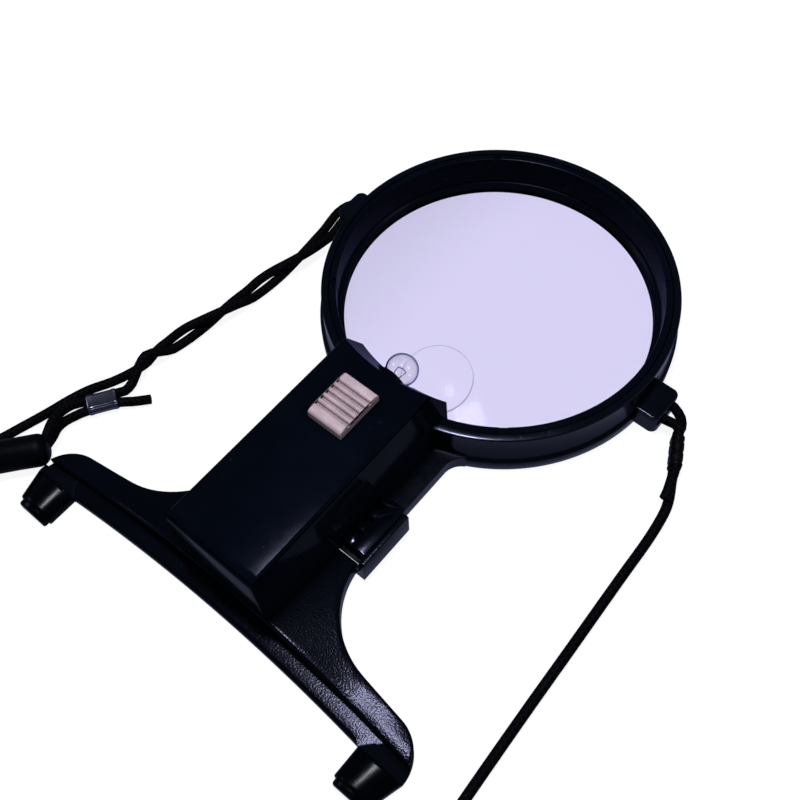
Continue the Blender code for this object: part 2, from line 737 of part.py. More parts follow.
def spring(name, x, near, far, look):
    """A conical coil spring along Y between two reaches."""
    per_turn = 10
    points = []
    for k in range(SPRING_TURNS * per_turn + 1):
        share = k / (SPRING_TURNS * per_turn)
        angle = math.tau * k / per_turn
        radius = SPRING_RADIUS * (1 - 0.25 * share)
        reach = near + SPRING_WIRE + (far - near - 2 * SPRING_WIRE) * share
        points.append((x + radius * math.cos(angle), out(reach), CELL_HEIGHT + radius * math.sin(angle)))
    return tube(name, points, SPRING_WIRE, look)


def contacts(look):
    """The fixed metal strips: lamp to switch, switch to cell, cell to cell and cell back to the lamp."""
    tip = LAMP_REACH + CAP_LENGTH + GAP
    leaf = block("bulb_contact", (-TRACK_HALF_WIDTH, TRACK_HALF_WIDTH), (out(tip + STRIP), out(tip)),
                 (LAMP_HEIGHT - 3 * MM, TRACK_BOTTOM + TRACK), look)
    leaf_track = block("bulb_track", (-TRACK_HALF_WIDTH, TRACK_HALF_WIDTH), (out(tip + 3 * MM), out(tip)),
                       (TRACK_BOTTOM, TRACK_BOTTOM + TRACK))
    join(leaf, leaf_track)
    face = CELL_FRONT - GAP
    plate = block("plate_front", (-CELL_X - TRACK_HALF_WIDTH, -TRACK_HALF_WIDTH / 2), (out(face), out(face - STRIP)),
                  (CELL_HEIGHT - STRIP_HALF_HEIGHT, TRACK_BOTTOM + TRACK), look)
    plate_track = block("plate_track", (-CELL_X - TRACK_HALF_WIDTH, -TRACK_HALF_WIDTH / 2),
                        (out(face), out(face - 3.7 * MM)), (TRACK_BOTTOM, TRACK_BOTTOM + TRACK))
    join(plate, plate_track)
    back = CHAMBER_BACK - GAP
    bridge = block("bridge_back", (-CELL_X - STRIP_HALF_HEIGHT, CELL_X + STRIP_HALF_HEIGHT),
                   (out(back), out(back - STRIP)),
                   (CELL_HEIGHT - STRIP_HALF_HEIGHT, CELL_HEIGHT + STRIP_HALF_HEIGHT), look)
    raised = block("bridge_stop", (CELL_X - TRACK_HALF_WIDTH, CELL_X + TRACK_HALF_WIDTH),
                   (out(back - STRIP / 2), out(CELL_BACK + GAP)),
                   (CELL_HEIGHT - TRACK_HALF_WIDTH, CELL_HEIGHT + TRACK_HALF_WIDTH))
    join(bridge, raised)
    rest = CELL_FRONT - (CHAMBER_BACK - GAP - STRIP - CELL_BACK)
    strip = block("return_strip", (TRACK_HALF_WIDTH, CELL_X + STRIP_HALF_HEIGHT), (out(rest), out(rest - STRIP)),
                  (CELL_HEIGHT - STRIP_HALF_HEIGHT, CELL_HEIGHT + STRIP_HALF_HEIGHT), look)
    socket_end = LAMP_REACH + SOCKET_LENGTH - GAP
    arm = block("return_arm", (SOCKET_RADIUS - SOCKET_WALL, SOCKET_RADIUS), (out(rest), out(socket_end + GAP)),
                (CELL_HEIGHT + STRIP_HALF_HEIGHT - 2 * MM, LAMP_HEIGHT + 1 * MM))
    join(strip, arm)
    spring("spring_front", CELL_X, rest + GAP, CELL_FRONT - GAP, look)
    spring("spring_back", -CELL_X, CELL_BACK + GAP, CHAMBER_BACK - 2 * GAP - STRIP, look)
    return leaf, plate, bridge, strip


def lamp(glass_look, brass_look, wire_look, socket_look):
    """The globe lamp along +Y: glass, filament, screw cap and the holder in the hood."""
    centre = GLOBE_RADIUS
    outer, inner = [], []
    arcs = 7
    for radius, points, neck in ((GLOBE_RADIUS, outer, NECK_RADIUS), (GLOBE_RADIUS - GLASS, inner, NECK_RADIUS - GLASS)):
        last = math.pi - math.asin(neck / radius)
        for k in range(arcs + 1):
            angle = last * k / arcs
            points.append((radius * math.sin(angle), centre + radius * math.cos(angle)))
    profile = outer + [(NECK_RADIUS, -NECK_LENGTH), (NECK_RADIUS - GLASS, -NECK_LENGTH)] + inner[::-1]
    glass = turned("bulb_glass", profile, glass_look, steps=20)
    cap = turned("bulb_base", [
        (CAP_RADIUS, 0.0),
        (CAP_RADIUS, 2.4 * MM - CAP_LENGTH),
        (CAP_RADIUS / 2, 0.8 * MM - CAP_LENGTH),
        (CAP_RADIUS / 3, 0.8 * MM - CAP_LENGTH),
        (CAP_RADIUS / 3, -CAP_LENGTH),
        (0.0, -CAP_LENGTH),
        (0.0, -CAP_HOLLOW),
        (NECK_RADIUS + GAP, -CAP_HOLLOW),
        (NECK_RADIUS + GAP, 0.0),
        (CAP_RADIUS, 0.0),
    ], brass_look, steps=20)
    socket = turned("bulb_socket", [
        (SOCKET_RADIUS, GAP),
        (SOCKET_RADIUS, -SOCKET_LENGTH + GAP),
        (SOCKET_RADIUS - SOCKET_WALL, -SOCKET_LENGTH + GAP),
        (SOCKET_RADIUS - SOCKET_WALL, GAP),
    ], socket_look, steps=28, closed=True)
    for made in (glass, cap, socket):
        made.rotation_euler.x = -math.pi / 2
        made.location = (0.0, out(LAMP_REACH), LAMP_HEIGHT)
    bottom = GAP - CAP_HOLLOW
    wire = tube("filament", [
        (-FILAMENT_HALF, out(LAMP_REACH - bottom), LAMP_HEIGHT),
        (-FILAMENT_HALF, out(LAMP_REACH - centre / 2), LAMP_HEIGHT),
        (-FILAMENT_HALF * 1.4, out(LAMP_REACH - centre), LAMP_HEIGHT),
        (0.0, out(LAMP_REACH - centre * 1.1), LAMP_HEIGHT),
        (FILAMENT_HALF * 1.4, out(LAMP_REACH - centre), LAMP_HEIGHT),
        (FILAMENT_HALF, out(LAMP_REACH - centre / 2), LAMP_HEIGHT),
        (FILAMENT_HALF, out(LAMP_REACH - bottom), LAMP_HEIGHT),
    ], FILAMENT_WIRE / 2, wire_look)
    wire = as_mesh(wire)
    bead = rod("filament_bead", FILAMENT_HALF * 1.6, (0, out(LAMP_REACH), LAMP_HEIGHT),
               (0, out(LAMP_REACH - 1.2 * MM), LAMP_HEIGHT), steps=12)
    join(wire, bead)
    return glass, cap, socket, wire


def switch(board_look, brass_look, knob_look):
    """The board over the cells, the sliding contact on it and the knob that moves it."""
    half = case_half(BOARD_TOP) - CASE_WALL - 2 * GAP
    board = block("switch_board", (-half, half), (out(BOARD_BACK), out(BOARD_FRONT)),
                  (BOARD_BOTTOM, BOARD_TOP), board_look)
    face = CELL_FRONT - GAP
    slit = block("board_slit", (-CELL_X - TRACK_HALF_WIDTH - GAP, -TRACK_HALF_WIDTH / 2 + GAP),
                 (out(face + GAP), out(face - STRIP - GAP)), (BOARD_BOTTOM - OVERLAP, BOARD_TOP + OVERLAP))
    cut(board, slit)
    contact = block("switch_contact", (-CONTACT_HALF_WIDTH, CONTACT_HALF_WIDTH),
                    (out(KNOB_REACH + CONTACT_HALF_LENGTH), out(KNOB_REACH - CONTACT_HALF_LENGTH)),
                    (CONTACT_BOTTOM, CONTACT_TOP), brass_look)
    peg = block("contact_peg", (-PEG / 2, PEG / 2), (out(KNOB_REACH + PEG / 2), out(KNOB_REACH - PEG / 2)),
                (CONTACT_BOTTOM + CONTACT_THICKNESS / 2, CONTACT_TOP + PEG_HEIGHT))
    join(contact, peg)
    knob = block("switch_knob", (-KNOB_WIDTH / 2, KNOB_WIDTH / 2),
                 (out(KNOB_REACH + KNOB_LENGTH / 2), out(KNOB_REACH - KNOB_LENGTH / 2)),
                 (KNOB_BOTTOM, KNOB_BOTTOM + KNOB_HEIGHT), knob_look)
    stem = block("knob_stem", (-STEM / 2, STEM / 2), (out(KNOB_REACH + STEM / 2), out(KNOB_REACH - STEM / 2)),
                 (CONTACT_TOP + GAP, KNOB_BOTTOM + OVERLAP))
    flange = block("knob_flange", (-STEM / 2 - STEM_FLANGE, STEM / 2 + STEM_FLANGE),
                   (out(KNOB_REACH + STEM / 2), out(KNOB_REACH - STEM / 2)),
                   (COVER_BOTTOM - GAP - STEM_FLANGE_THICKNESS, COVER_BOTTOM - GAP))
    pocket = block("knob_pocket", (-PEG / 2 - GAP, PEG / 2 + GAP),
                   (out(KNOB_REACH + PEG / 2 + GAP), out(KNOB_REACH - PEG / 2 - GAP)),
                   (CONTACT_TOP, CONTACT_TOP + PEG_HEIGHT + GAP))
    join(knob, stem, flange)
    cut(knob, pocket)
    pitch = KNOB_LENGTH / KNOB_RIBS
    for k in range(1, KNOB_RIBS):
        y = out(KNOB_REACH + KNOB_LENGTH / 2) + k * pitch
        groove = block(f"knob_groove_{k}", (-KNOB_WIDTH, KNOB_WIDTH), (y - KNOB_GROOVE / 2, y + KNOB_GROOVE / 2),
                       (KNOB_BOTTOM + KNOB_HEIGHT - KNOB_GROOVE_DEPTH, KNOB_BOTTOM + KNOB_HEIGHT + OVERLAP))
        cut(knob, groove)
    return board, contact, knob


# ---------------------------------------------------------------- chest plate

def plate_outline():
    """Outline of the chest plate, from a little before the neck round by the wings to the hollow front."""
    inner = ARM_HALF_WIDTH
    start = NECK_REACH - NECK_SPARE
    wing_inner = WING_REACH - WING_LEAN * (WING_HALF_SPAN - inner)
    side = rounded([
        (-inner, start, 0),
        (inner, start, 0),
        (inner, wing_inner, SIDE_FILLET),
        (WING_HALF_SPAN, WING_REACH, SHOULDER_RADIUS),
        (LEG_HALF_SPAN, LEG_REACH, 0),
        (FOOT_INNER, LEG_REACH, 0),
    ])[1:]
    side += [(x, bow(x, FRONT_REACH)) for x in spread(FOOT_INNER)]
    return mirrored([(x, out(reach)) for x, reach in side])


def spread(limit):
    """Evenly spaced distances from a limit down to the middle."""
    return [limit * (1 - k / BOW_STEPS) for k in range(BOW_STEPS + 1)]


def chest_plate(look):
    plate = prism("chest_plate", plate_outline(), 0.0, FAIRING_TOP + 5 * MM, look)
    combine(plate, roof(), "INTERSECT")
    neck = block("neck_cut", (-ARM_HALF_WIDTH - OVERLAP, ARM_HALF_WIDTH + OVERLAP),
                 (out(NECK_REACH), out(NECK_REACH - 2 * NECK_SPARE)), (-OVERLAP, FAIRING_TOP + 6 * MM))
    limit = WING_HALF_SPAN
    edge = [(x, out(bow(x, STEP_REACH))) for x in spread(limit)]
    front = prism("front_cut", mirrored([(limit, out(FOOT_REACH))] + edge), CHEST_FLANGE, FAIRING_TOP + 6 * MM)
    cut(plate, neck, front)
    for name, side in both_sides("ear"):
        ear = block(name, (side * EAR_INNER, side * (EAR_INNER + EAR_THICKNESS)),
                    (out(NECK_REACH + EAR_WEB), out(EAR_REACH)), (0.0, EAR_TOP))
        web = block(f"{name}_web", (side * (ARM_HALF_WIDTH - 2 * MM), side * (EAR_INNER + EAR_THICKNESS / 2)),
                    (out(NECK_REACH + EAR_WEB), out(NECK_REACH)), (0.0, WING_TOP))
        socket = rod(f"{name}_socket", PIN_RADIUS + GAP, (side * RAIL_HALF_OUTER, out(HINGE_REACH), HINGE_HEIGHT),
                     (side * (EAR_INNER + EAR_THICKNESS - EAR_SKIN + GAP), out(HINGE_REACH), HINGE_HEIGHT), steps=16)
        join(plate, web, ear)
        cut(plate, socket)
    middle = (FOOT_INNER + FOOT_OUTER - FOOT_TAPER) / 2
    for name, side in both_sides("tongue"):
        tongue = block(name, (side * (middle - TONGUE_HALF_WIDTH), side * (middle + TONGUE_HALF_WIDTH)),
                       (out(LEG_REACH + TONGUE_LENGTH), out(LEG_REACH - 2 * MM)),
                       (TONGUE_BOTTOM, TONGUE_BOTTOM + TONGUE_THICKNESS))
        join(plate, tongue)
    return plate


def roof():
    """A slab whose top is the chest plate's top surface, raised under the light case."""
    shape = bmesh.new()
    bmesh.ops.create_grid(shape, x_segments=22, y_segments=8, size=0.5)
    near, far = NECK_REACH - 2 * NECK_SPARE, STEP_REACH + ROOF_RUN
    for vertex in shape.verts:
        x = vertex.co.x * 2.2 * LEG_HALF_SPAN
        reach = near + (0.5 - vertex.co.y) * (far - near)
        fade = min(1.0, max(0.0, (abs(x) - FAIRING_FLAT) / FAIRING_FADE))
        fade = fade * fade * (3 - 2 * fade)
        height = WING_TOP + (under_case(reach) - WING_TOP) * (1 - fade)
        vertex.co = (x, out(reach), height)
    sheet = shape.verts[:] + shape.edges[:] + shape.faces[:]
    made = bmesh.ops.extrude_face_region(shape, geom=sheet, use_keep_orig=True)
    lowered = [item for item in made["geom"] if isinstance(item, bmesh.types.BMVert)]
    for vertex in lowered:
        vertex.co.z = -2 * MM
    return from_shape("roof", shape)


def foot(name, side, look):
    """A rubber boot with a rounded top, narrower at its end, over the plate's tongue."""
    arcs = 6
    half = (FOOT_OUTER - FOOT_INNER) / 2
    middle = (FOOT_INNER + FOOT_OUTER) / 2
    section = [(half, 0.0)]
    for k in range(arcs + 1):
        angle = math.pi * k / arcs
        section.append((half * math.cos(angle), FOOT_SIDE + (FOOT_TOP - FOOT_SIDE) * math.sin(angle)))
    section.append((-half, 0.0))
    boot = prism(name, section, 0.0, FOOT_END - LEG_REACH - GAP, look, ENDWAYS)
    cap_half = [(x * (1 - FOOT_CAP_INSET / half), z * (1 - FOOT_CAP_INSET / FOOT_TOP)) for x, z in section]
    cap = prism(f"{name}_cap", cap_half, -OVERLAP, FOOT_REACH - FOOT_END, None, ENDWAYS)
    start = LEG_REACH + GAP
    for made, reach in ((boot, start), (cap, FOOT_END)):
        for vertex in made.data.vertices:
            share = (reach - vertex.co.y - start) / (FOOT_END - start)
            narrow = FOOT_TAPER / 2 * share
            vertex.co.x = middle - narrow + vertex.co.x * (half - narrow) / half
            vertex.co.y = out(reach) + vertex.co.y
            if side < 0:
                vertex.co.x = -vertex.co.x
        if side < 0:
            made.data.flip_normals()
    join(boot, cap)
    tongue_middle = (FOOT_INNER + FOOT_OUTER - FOOT_TAPER) / 2
    room = block(f"{name}_room", (side * (tongue_middle - TONGUE_HALF_WIDTH - GAP),
                                  side * (tongue_middle + TONGUE_HALF_WIDTH + GAP)),
                 (out(LEG_REACH + TONGUE_LENGTH + GAP), out(LEG_REACH)),
                 (TONGUE_BOTTOM - GAP, TONGUE_BOTTOM + TONGUE_THICKNESS + GAP))
    cut(boot, room)
    return boot


def hinge_pins(look):
    outer = EAR_INNER + EAR_THICKNESS - EAR_SKIN
    for name, side in both_sides("hinge_pin"):
        rod(name, PIN_RADIUS, (side * (outer - PIN_LENGTH), out(HINGE_REACH), HINGE_HEIGHT),
            (side * outer, out(HINGE_REACH), HINGE_HEIGHT), look, steps=16)


def arm_screws(look):
    for name, reach in zip(("arm_screw_front", "arm_screw_back"), SCREW_REACHES):
        screw = turned(name, [
            (0.0, SCREW_TOP),
            (SCREW_RADIUS / 2, SCREW_TOP),
            (SCREW_RADIUS, SCREW_TOP - SCREW_RADIUS),
            (SCREW_RADIUS, GAP + SCREW_HEAD),
            (SCREW_HEAD_RADIUS, GAP + SCREW_HEAD),
            (SCREW_HEAD_RADIUS, 3 * GAP),
            (SCREW_HEAD_RADIUS - 2 * GAP, GAP),
            (0.0, GAP),
        ], look, steps=16)
        screw.location.y = out(reach)


# ---------------------------------------------------------------- cord

def tube(name, points, radius, look):
    """A round wire or cord through points, as a filled curve."""
    curve = bpy.data.curves.new(name, "CURVE")
    curve.dimensions = "3D"
    curve.bevel_depth = radius
    curve.bevel_resolution = 2
    curve.use_fill_caps = True
    spline = curve.splines.new("POLY")
    spline.points.add(len(points) - 1)
    for point, place in zip(spline.points, points):
        point.co = (*place, 1.0)
    made = bpy.data.objects.new(name, curve)
    PARTS.objects.link(made)
    curve.materials.append(look)
    return made


def smooth(route, step):
    """Points along a smooth curve through a route, at its own points and every step between them."""
    route = [Vector(point) for point in route]
    ends = [2 * route[0] - route[1]] + route + [2 * route[-1] - route[-2]]
    points = [route[0]]
    for before, start, end, after in zip(ends, ends[1:], ends[2:], ends[3:]):
        count = max(1, round((end - start).length / step))
        for k in range(1, count + 1):
            t = k / count
            points.append(0.5 * (2 * start + (end - before) * t
                                 + (2 * before - 5 * start + 4 * end - after) * t ** 2
                                 + (3 * start - before - 3 * end + after) * t ** 3))
    return points


LAY = 1.8
RIGHT_LOOP = [
    (78.0, 43.1, 5.7), (77.1, 44.7, 5.7), (75.2, 45.6, 5.65), (72.6, 45.3, 5.5), (70.0, 44.95, 5.4),
    (67.1, 44.95, 5.4), (64.9, 45.85, 5.4), (64.0, 48.05, 5.4), (64.9, 50.25, 5.4), (67.1, 51.15, 5.4),
    (71.2, 51.2, 5.0), (75.0, 50.0, 3.5), (76.9, 47.6, 2.2), (77.2, 45.0, 1.95), (78.0, 43.1, 1.95),
]
"""In mm: out of the sleeve's upper channel, round the right lug's post and into the lower one."""
RIGHT_TAIL = [(83.65, 32.2, 5.7), (84.9, 28.4, 5.5), (86.4, 23.6, 5.3), (86.9, 20.9, 5.1)]
RIGHT_RUN = [
    (83.65, 32.2, 1.95), (85.4, 28.4, LAY), (87.7, 23.6, LAY), (89.3, 18.0, LAY), (90.4, 7.2, LAY),
    (90.9, -9.5, LAY), (91.9, -38.0, LAY), (92.7, -62.0, LAY), (93.9, -90.0, LAY), (95.2, -112.0, LAY),
    (94.6, -128.0, 2.4), (92.2, -142.0, 4.6),
]
"""From the sleeve along the right of the object to the coil."""
NECK_RUN = [
    (66.5, -170.55, 4.6), (52.0, -172.3, 2.4), (30.0, -175.0, LAY), (8.0, -180.0, LAY), (-12.0, -181.5, LAY),
    (-28.0, -174.0, LAY), (-52.0, -152.0, LAY), (-73.0, -135.0, LAY), (-86.3, -126.7, LAY),
    (-91.6, -123.0, 2.3), (-94.4, -119.9, 3.1), (-95.2, -116.6, 4.0), (-94.6, -113.5, 5.0), (-92.9, -110.7, 5.6),
]
"""From the coil round the front to the slider."""
SLIDER_TURN = [
    (-95.9, -108.2, 5.6), (-98.4, -111.6, 5.2), (-101.2, -116.8, 3.6), (-106.2, -120.9, 2.2),
    (-111.2, -117.8, LAY), (-111.0, -111.0, LAY), (-106.6, -106.6, LAY), (-102.0, -104.0, LAY),
    (-98.6, -100.3, LAY), (-95.9, -91.5, LAY), (-93.4, -82.6, LAY), (-91.6, -75.0, LAY), (-89.2, -67.6, LAY),
    (-85.4, -60.2, LAY), (-82.9, -53.2, LAY),
]
"""Out of the slider again, round its side and along the left to the crossing of the pair."""
PAIR = [
    (-81.8, -46.6, 2.5, LAY), (-80.6, -37.0, 2.0, LAY), (-76.6, -22.4, 1.5, LAY), (-74.0, -3.4, 1.0, LAY),
    (-70.9, 12.6, 0.5, LAY), (-69.6, 25.0, 0.2, 2.9), (-69.6, 35.0, 0.0, 4.0),
]
"""The two twisted strands on the left: the middle's x and y, the half turns still to go and the lower height."""
PAIR_STEP = 6.4
LEFT_LUG = [
    (-68.2, 42.2, 5.3), (-67.1, 44.95, 5.4), (-64.9, 45.85, 5.4), (-64.0, 48.05, 5.4), (-64.9, 50.25, 5.4),
    (-67.1, 51.15, 5.4), (-70.8, 49.6, 5.4), (-72.6, 44.0, 4.8),
]
"""Round the left lug's post, from the inner strand of the pair to the outer one."""
FERRULE_TOP = [(-80.2, -52.2, 4.9), (-78.9, -56.6, 2.9), (-78.9, -60.0, 2.3), (-80.1, -61.9, 2.2)]
LEFT_TAIL = [(-77.0, -64.3, 2.2), (-74.0, -61.2, LAY), (-69.8, -56.6, LAY)]
OUTER_LEG = [(-86.6, -71.8, 2.25), (-87.8, -75.9, 4.1), (-87.4, -80.4, 6.0), (-86.0, -84.9, 7.2), (-84.2, -88.0, 7.5)]
INNER_LEG = [(-83.3, -73.9, 2.2), (-85.1, -77.6, 1.9), (-86.2, -81.4, 2.0), (-85.5, -85.0, 3.0), (-83.8, -88.0, 3.7)]
"""The two strands between the ferrule and the slider."""
SLEEVE = ((78.25, 42.6), (83.45, 32.6))
FERRULE = ((-79.0, -63.8), (-84.5, -72.1))
SLIDER = ((-79.9, -91.9), (-93.9, -108.8))


def in_metres(route):
    return [tuple(value * MM for value in point) for point in route]


def strands():
    """The two strands of the pair, each in mm: side by side on the table, and one over the other between."""
    apart = (CORD / MM + 0.5) / 2
    first, second = [], []
    pair = smooth(PAIR, PAIR_STEP)
    for k, (x, y, turns, low) in enumerate(pair):
        along = (pair[min(k + 1, len(pair) - 1)] - pair[max(k - 1, 0)]).xy.normalized()
        side = Vector((along.y, -along.x)) * apart * math.cos(math.pi * turns)
        lift = apart * math.sin(math.pi * turns)
        first.append((x + side.x, y + side.y, low + abs(lift) + lift))
        second.append((x - side.x, y - side.y, low + abs(lift) - lift))
    return first, second


def band(name, ends, width, height, lift, look):
    """A flattened sleeve with rounded edges between two places on the table."""
    (x0, y0), (x1, y1) = ends
    along = Vector((x1 - x0, y1 - y0))
    radius = min(width, height) / 2
    middle = max(width, height) / 2 - radius
    outline = []
    for centre, start in ((middle, -math.pi / 2), (-middle, math.pi / 2)):
        for k in range(7):
            angle = start + math.pi * k / 6
            outline.append((centre + radius * math.cos(angle), radius * math.sin(angle)))
    if height > width:
        outline = [(-y, x) for x, y in outline]
    length = along.length * MM
    turn = Matrix.Translation(((x0 + x1) / 2 * MM, (y0 + y1) / 2 * MM, lift))
    turn = turn @ Matrix.Rotation(math.atan2(along.y, along.x) - math.pi / 2, 4, "Z")
    made = prism(name, outline, -length / 2, length / 2, look, turn @ ENDWAYS)
    bevel = made.modifiers.new("Edges", "BEVEL")
    bevel.width = 0.4 * MM
    bevel.segments = 2
    bevel.limit_method = "ANGLE"
    bevel.angle_limit = math.radians(50)
    return made


def slider(look):
    """A fat round slide with rounded ends that grips both strands."""
    (x0, y0), (x1, y1) = SLIDER
    along = Vector((x1 - x0, y1 - y0, 0.0)) * MM
    corner = SLIDER_END
    profile = [(0.0, along.length)]
    for k in range(5):
        angle = math.pi / 2 * (1 - k / 4)
        profile.append((SLIDER_RADIUS - corner * (1 - math.cos(angle)), along.length - corner * (1 - math.sin(angle))))
    for k in range(5):
        angle = math.pi / 2 * k / 4
        profile.append((SLIDER_RADIUS - corner * (1 - math.cos(angle)), corner * (1 - math.sin(angle))))
    profile.append((0.0, 0.0))
    made = turned("cord_slider", profile, look, steps=SMALL_STEPS)
    made.rotation_mode = "QUATERNION"
    made.rotation_quaternion = along.to_track_quat("Z", "Y")
    made.location = (x0 * MM, y0 * MM, SLIDER_RADIUS + TABLE_GAP)
    return made


def coil(look, tie_look):
    """The spare cord as one ring, and the tie that holds it."""
    arcs = 12
    section = []
    for k in range(arcs):
        angle = math.tau * k / arcs
        section.append((COIL_RADIUS + COIL_HALF_WIDTH * math.cos(angle), COIL_HEIGHT / 2 * (1 + math.sin(angle))))
    ring = turned("cord_coil", section[::-1], look, steps=36, closed=True)
    ring.location = (*COIL_CENTRE, COIL_LIFT)
    half = COIL_HALF_WIDTH + GAP + TIE_WALL
    height = COIL_HEIGHT / 2 + GAP + TIE_WALL
    outline = [(half * math.cos(math.tau * k / 16), height * math.sin(math.tau * k / 16)) for k in range(16)]
    inner = [(x * (1 - TIE_WALL / half), z * (1 - TIE_WALL / height)) for x, z in outline]
    place = Matrix.Translation((*COIL_CENTRE, COIL_HEIGHT / 2 + COIL_LIFT)) @ Matrix.Rotation(TIE_ANGLE, 4, "Z")
    place = place @ Matrix.Translation((COIL_RADIUS, 0.0, 0.0)) @ ENDWAYS
    tie = prism("cord_tie", outline, -TIE_WIDTH / 2, TIE_WIDTH / 2, tie_look, place)
    hollow = prism("tie_hollow", inner, -TIE_WIDTH, TIE_WIDTH, None, place)
    cut(tie, hollow)
    return ring, tie


def cords(look, sleeve_look, steel_look, slider_look):
    first, second = strands()
    left = SLIDER_TURN + second + LEFT_LUG[::-1] + first[::-1] + FERRULE_TOP
    for name, route in (
        ("cord_right_loop", RIGHT_LOOP),
        ("cord_right_tail", RIGHT_TAIL),
        ("cord_right_run", RIGHT_RUN),
        ("cord_neck_run", NECK_RUN),
        ("cord_left_run", left),
        ("cord_left_tail", LEFT_TAIL),
        ("cord_leg_outer", OUTER_LEG),
        ("cord_leg_inner", INNER_LEG),
    ):
        points = smooth(in_metres(route), CORD_STEP)
        for point in points:
            point.z = max(point.z, CORD / 2 + TABLE_GAP)
        tube(name, points, CORD / 2, look)
    band("crimp_sleeve", SLEEVE, SLEEVE_WIDTH, SLEEVE_HEIGHT, SLEEVE_HEIGHT / 2 + TABLE_GAP, sleeve_look)
    band("ferrule", FERRULE, FERRULE_WIDTH, FERRULE_HEIGHT, FERRULE_HEIGHT / 2 + 0.1 * MM, steel_look)
    slider(slider_look)
    coil(look, sleeve_look)


def main():
    global PARTS, GUIDES
    clear_scene()
    PARTS = collection("chest_magnifier")
    GUIDES = collection("guides")
    black = material("black plastic", (0.018, 0.018, 0.022), 0.35)
    clear = material("clear acrylic", (0.86, 0.86, 0.93), 0.05, alpha=0.35)
    rubber = material("black rubber", (0.015, 0.015, 0.017), 0.4)
    beige = material("pinkish plastic", (0.55, 0.45, 0.43), 0.6)
    brass = material("brass", (0.78, 0.6, 0.3), 0.35, 1.0)
    steel = material("steel", (0.6, 0.6, 0.62), 0.3, 1.0)
    board = material("brown board", (0.3, 0.18, 0.1), 0.7)
    green = material("cell jacket", (0.1, 0.18, 0.12), 0.4)
    braid = material("black braid", (0.012, 0.012, 0.014), 0.8)
    lens_frame(black)
    retaining_ring(black)
    main_lens(clear)
    light_body(black)
    light_cover(black)
    cell("cell_left", -CELL_X, True, green)
    cell("cell_right", CELL_X, False, green)
    contacts(brass)
    lamp(clear, brass, steel, black)
    switch(board, brass, beige)
    chest_plate(black)
    foot("foot_left", -1, rubber)
    foot("foot_right", 1, rubber)
    hinge_pins(steel)
    arm_screws(steel)
    cords(braid, black, steel, rubber)


main()
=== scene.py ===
"""Chest magnifier: a lit lens on an arm, held in front of the wearer by a neck cord and a folding plate."""
import json
import math

import bpy
from bpy.props import FloatProperty, FloatVectorProperty, IntProperty, PointerProperty
from mathutils import Matrix, Vector

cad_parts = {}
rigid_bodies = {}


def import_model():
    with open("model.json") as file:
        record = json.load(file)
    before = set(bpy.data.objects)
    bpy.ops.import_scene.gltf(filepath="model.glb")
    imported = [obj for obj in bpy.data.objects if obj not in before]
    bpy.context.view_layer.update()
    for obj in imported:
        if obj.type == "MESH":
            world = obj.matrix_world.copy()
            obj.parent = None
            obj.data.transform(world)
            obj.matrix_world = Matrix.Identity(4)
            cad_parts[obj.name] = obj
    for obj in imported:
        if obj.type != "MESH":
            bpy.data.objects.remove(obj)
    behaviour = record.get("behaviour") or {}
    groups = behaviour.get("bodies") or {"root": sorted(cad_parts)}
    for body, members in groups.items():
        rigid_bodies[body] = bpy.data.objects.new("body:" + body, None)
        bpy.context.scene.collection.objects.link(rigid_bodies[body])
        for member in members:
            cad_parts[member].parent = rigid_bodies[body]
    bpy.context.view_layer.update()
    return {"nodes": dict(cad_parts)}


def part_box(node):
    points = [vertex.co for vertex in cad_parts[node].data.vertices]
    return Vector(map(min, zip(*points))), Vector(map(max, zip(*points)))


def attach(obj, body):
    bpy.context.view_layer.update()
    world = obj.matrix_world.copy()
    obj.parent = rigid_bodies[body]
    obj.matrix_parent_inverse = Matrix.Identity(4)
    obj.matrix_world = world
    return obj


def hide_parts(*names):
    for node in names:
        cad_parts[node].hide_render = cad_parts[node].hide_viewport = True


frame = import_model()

bl_info = {
    "name": "Chest Magnifier",
    "version": (1, 0, 0),
    "blender": (4, 5, 0),
    "location": "3D View > Sidebar > Magnifier",
    "description": "Builds a hands-free magnifier with a light and a neck cord",
    "category": "Add Mesh",
}

# Places and sizes below are in millimetres, and MM turns them into metres, which Blender and the frame use.
# Only the camera, the lamps, the cord's diameter and the points of a cord's path are given in metres.
MM = 0.001
LENS_LOW, LENS_HIGH = (Vector(corner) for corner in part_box("main_lens"))
LENS_Y = ((LENS_LOW + LENS_HIGH) / 2).y / MM
LENS_BOTTOM = LENS_LOW.z / MM
KNOB_BOTTOM, KNOB_TOP = (Vector(corner).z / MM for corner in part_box("switch_knob"))
SIDES = (-1, 1)
SEGMENT_TURN = math.radians(4.7)
SEGMENT_PLACE = (3.18, LENS_Y - 38.67, 0.0)
# Radii of the painted shade line round the strong segment's edge
SEGMENT_EDGE_SHADE = (12.1, 12.3, 12.5, 12.75)
HINGE_REACH, HINGE_HEIGHT = 95.0, 5.0
SCREW_REACHES = (76.0, 98.0)
LAMP_HEIGHT = 26.3
CASE_END, CASE_LOW = 138.0, 5.7
NECK_REACH = 105.5
LEG_INNER = 61.5
LEG_END = 147.0
BOOT_START = 147.3


def out(reach):
    """Y at this distance from the lens centre, towards the wearer."""
    return LENS_Y - reach


# ---------------------------------------------------------------- sizes and colours

def length(name, description, value):
    """A length property, its default given in millimetres."""
    return FloatProperty(name=name, description=description, default=value * MM, min=0.0,
                         subtype="DISTANCE", unit="LENGTH", precision=5)


def colour(name, description, value):
    """A linear colour property."""
    return FloatVectorProperty(name=name, description=description, default=value, size=3,
                               min=0.0, max=1.0, subtype="COLOR")


def plain(name, description, value, subtype="NONE"):
    """A property without a unit, or an angle in radians."""
    return FloatProperty(name=name, description=description, default=value, subtype=subtype)


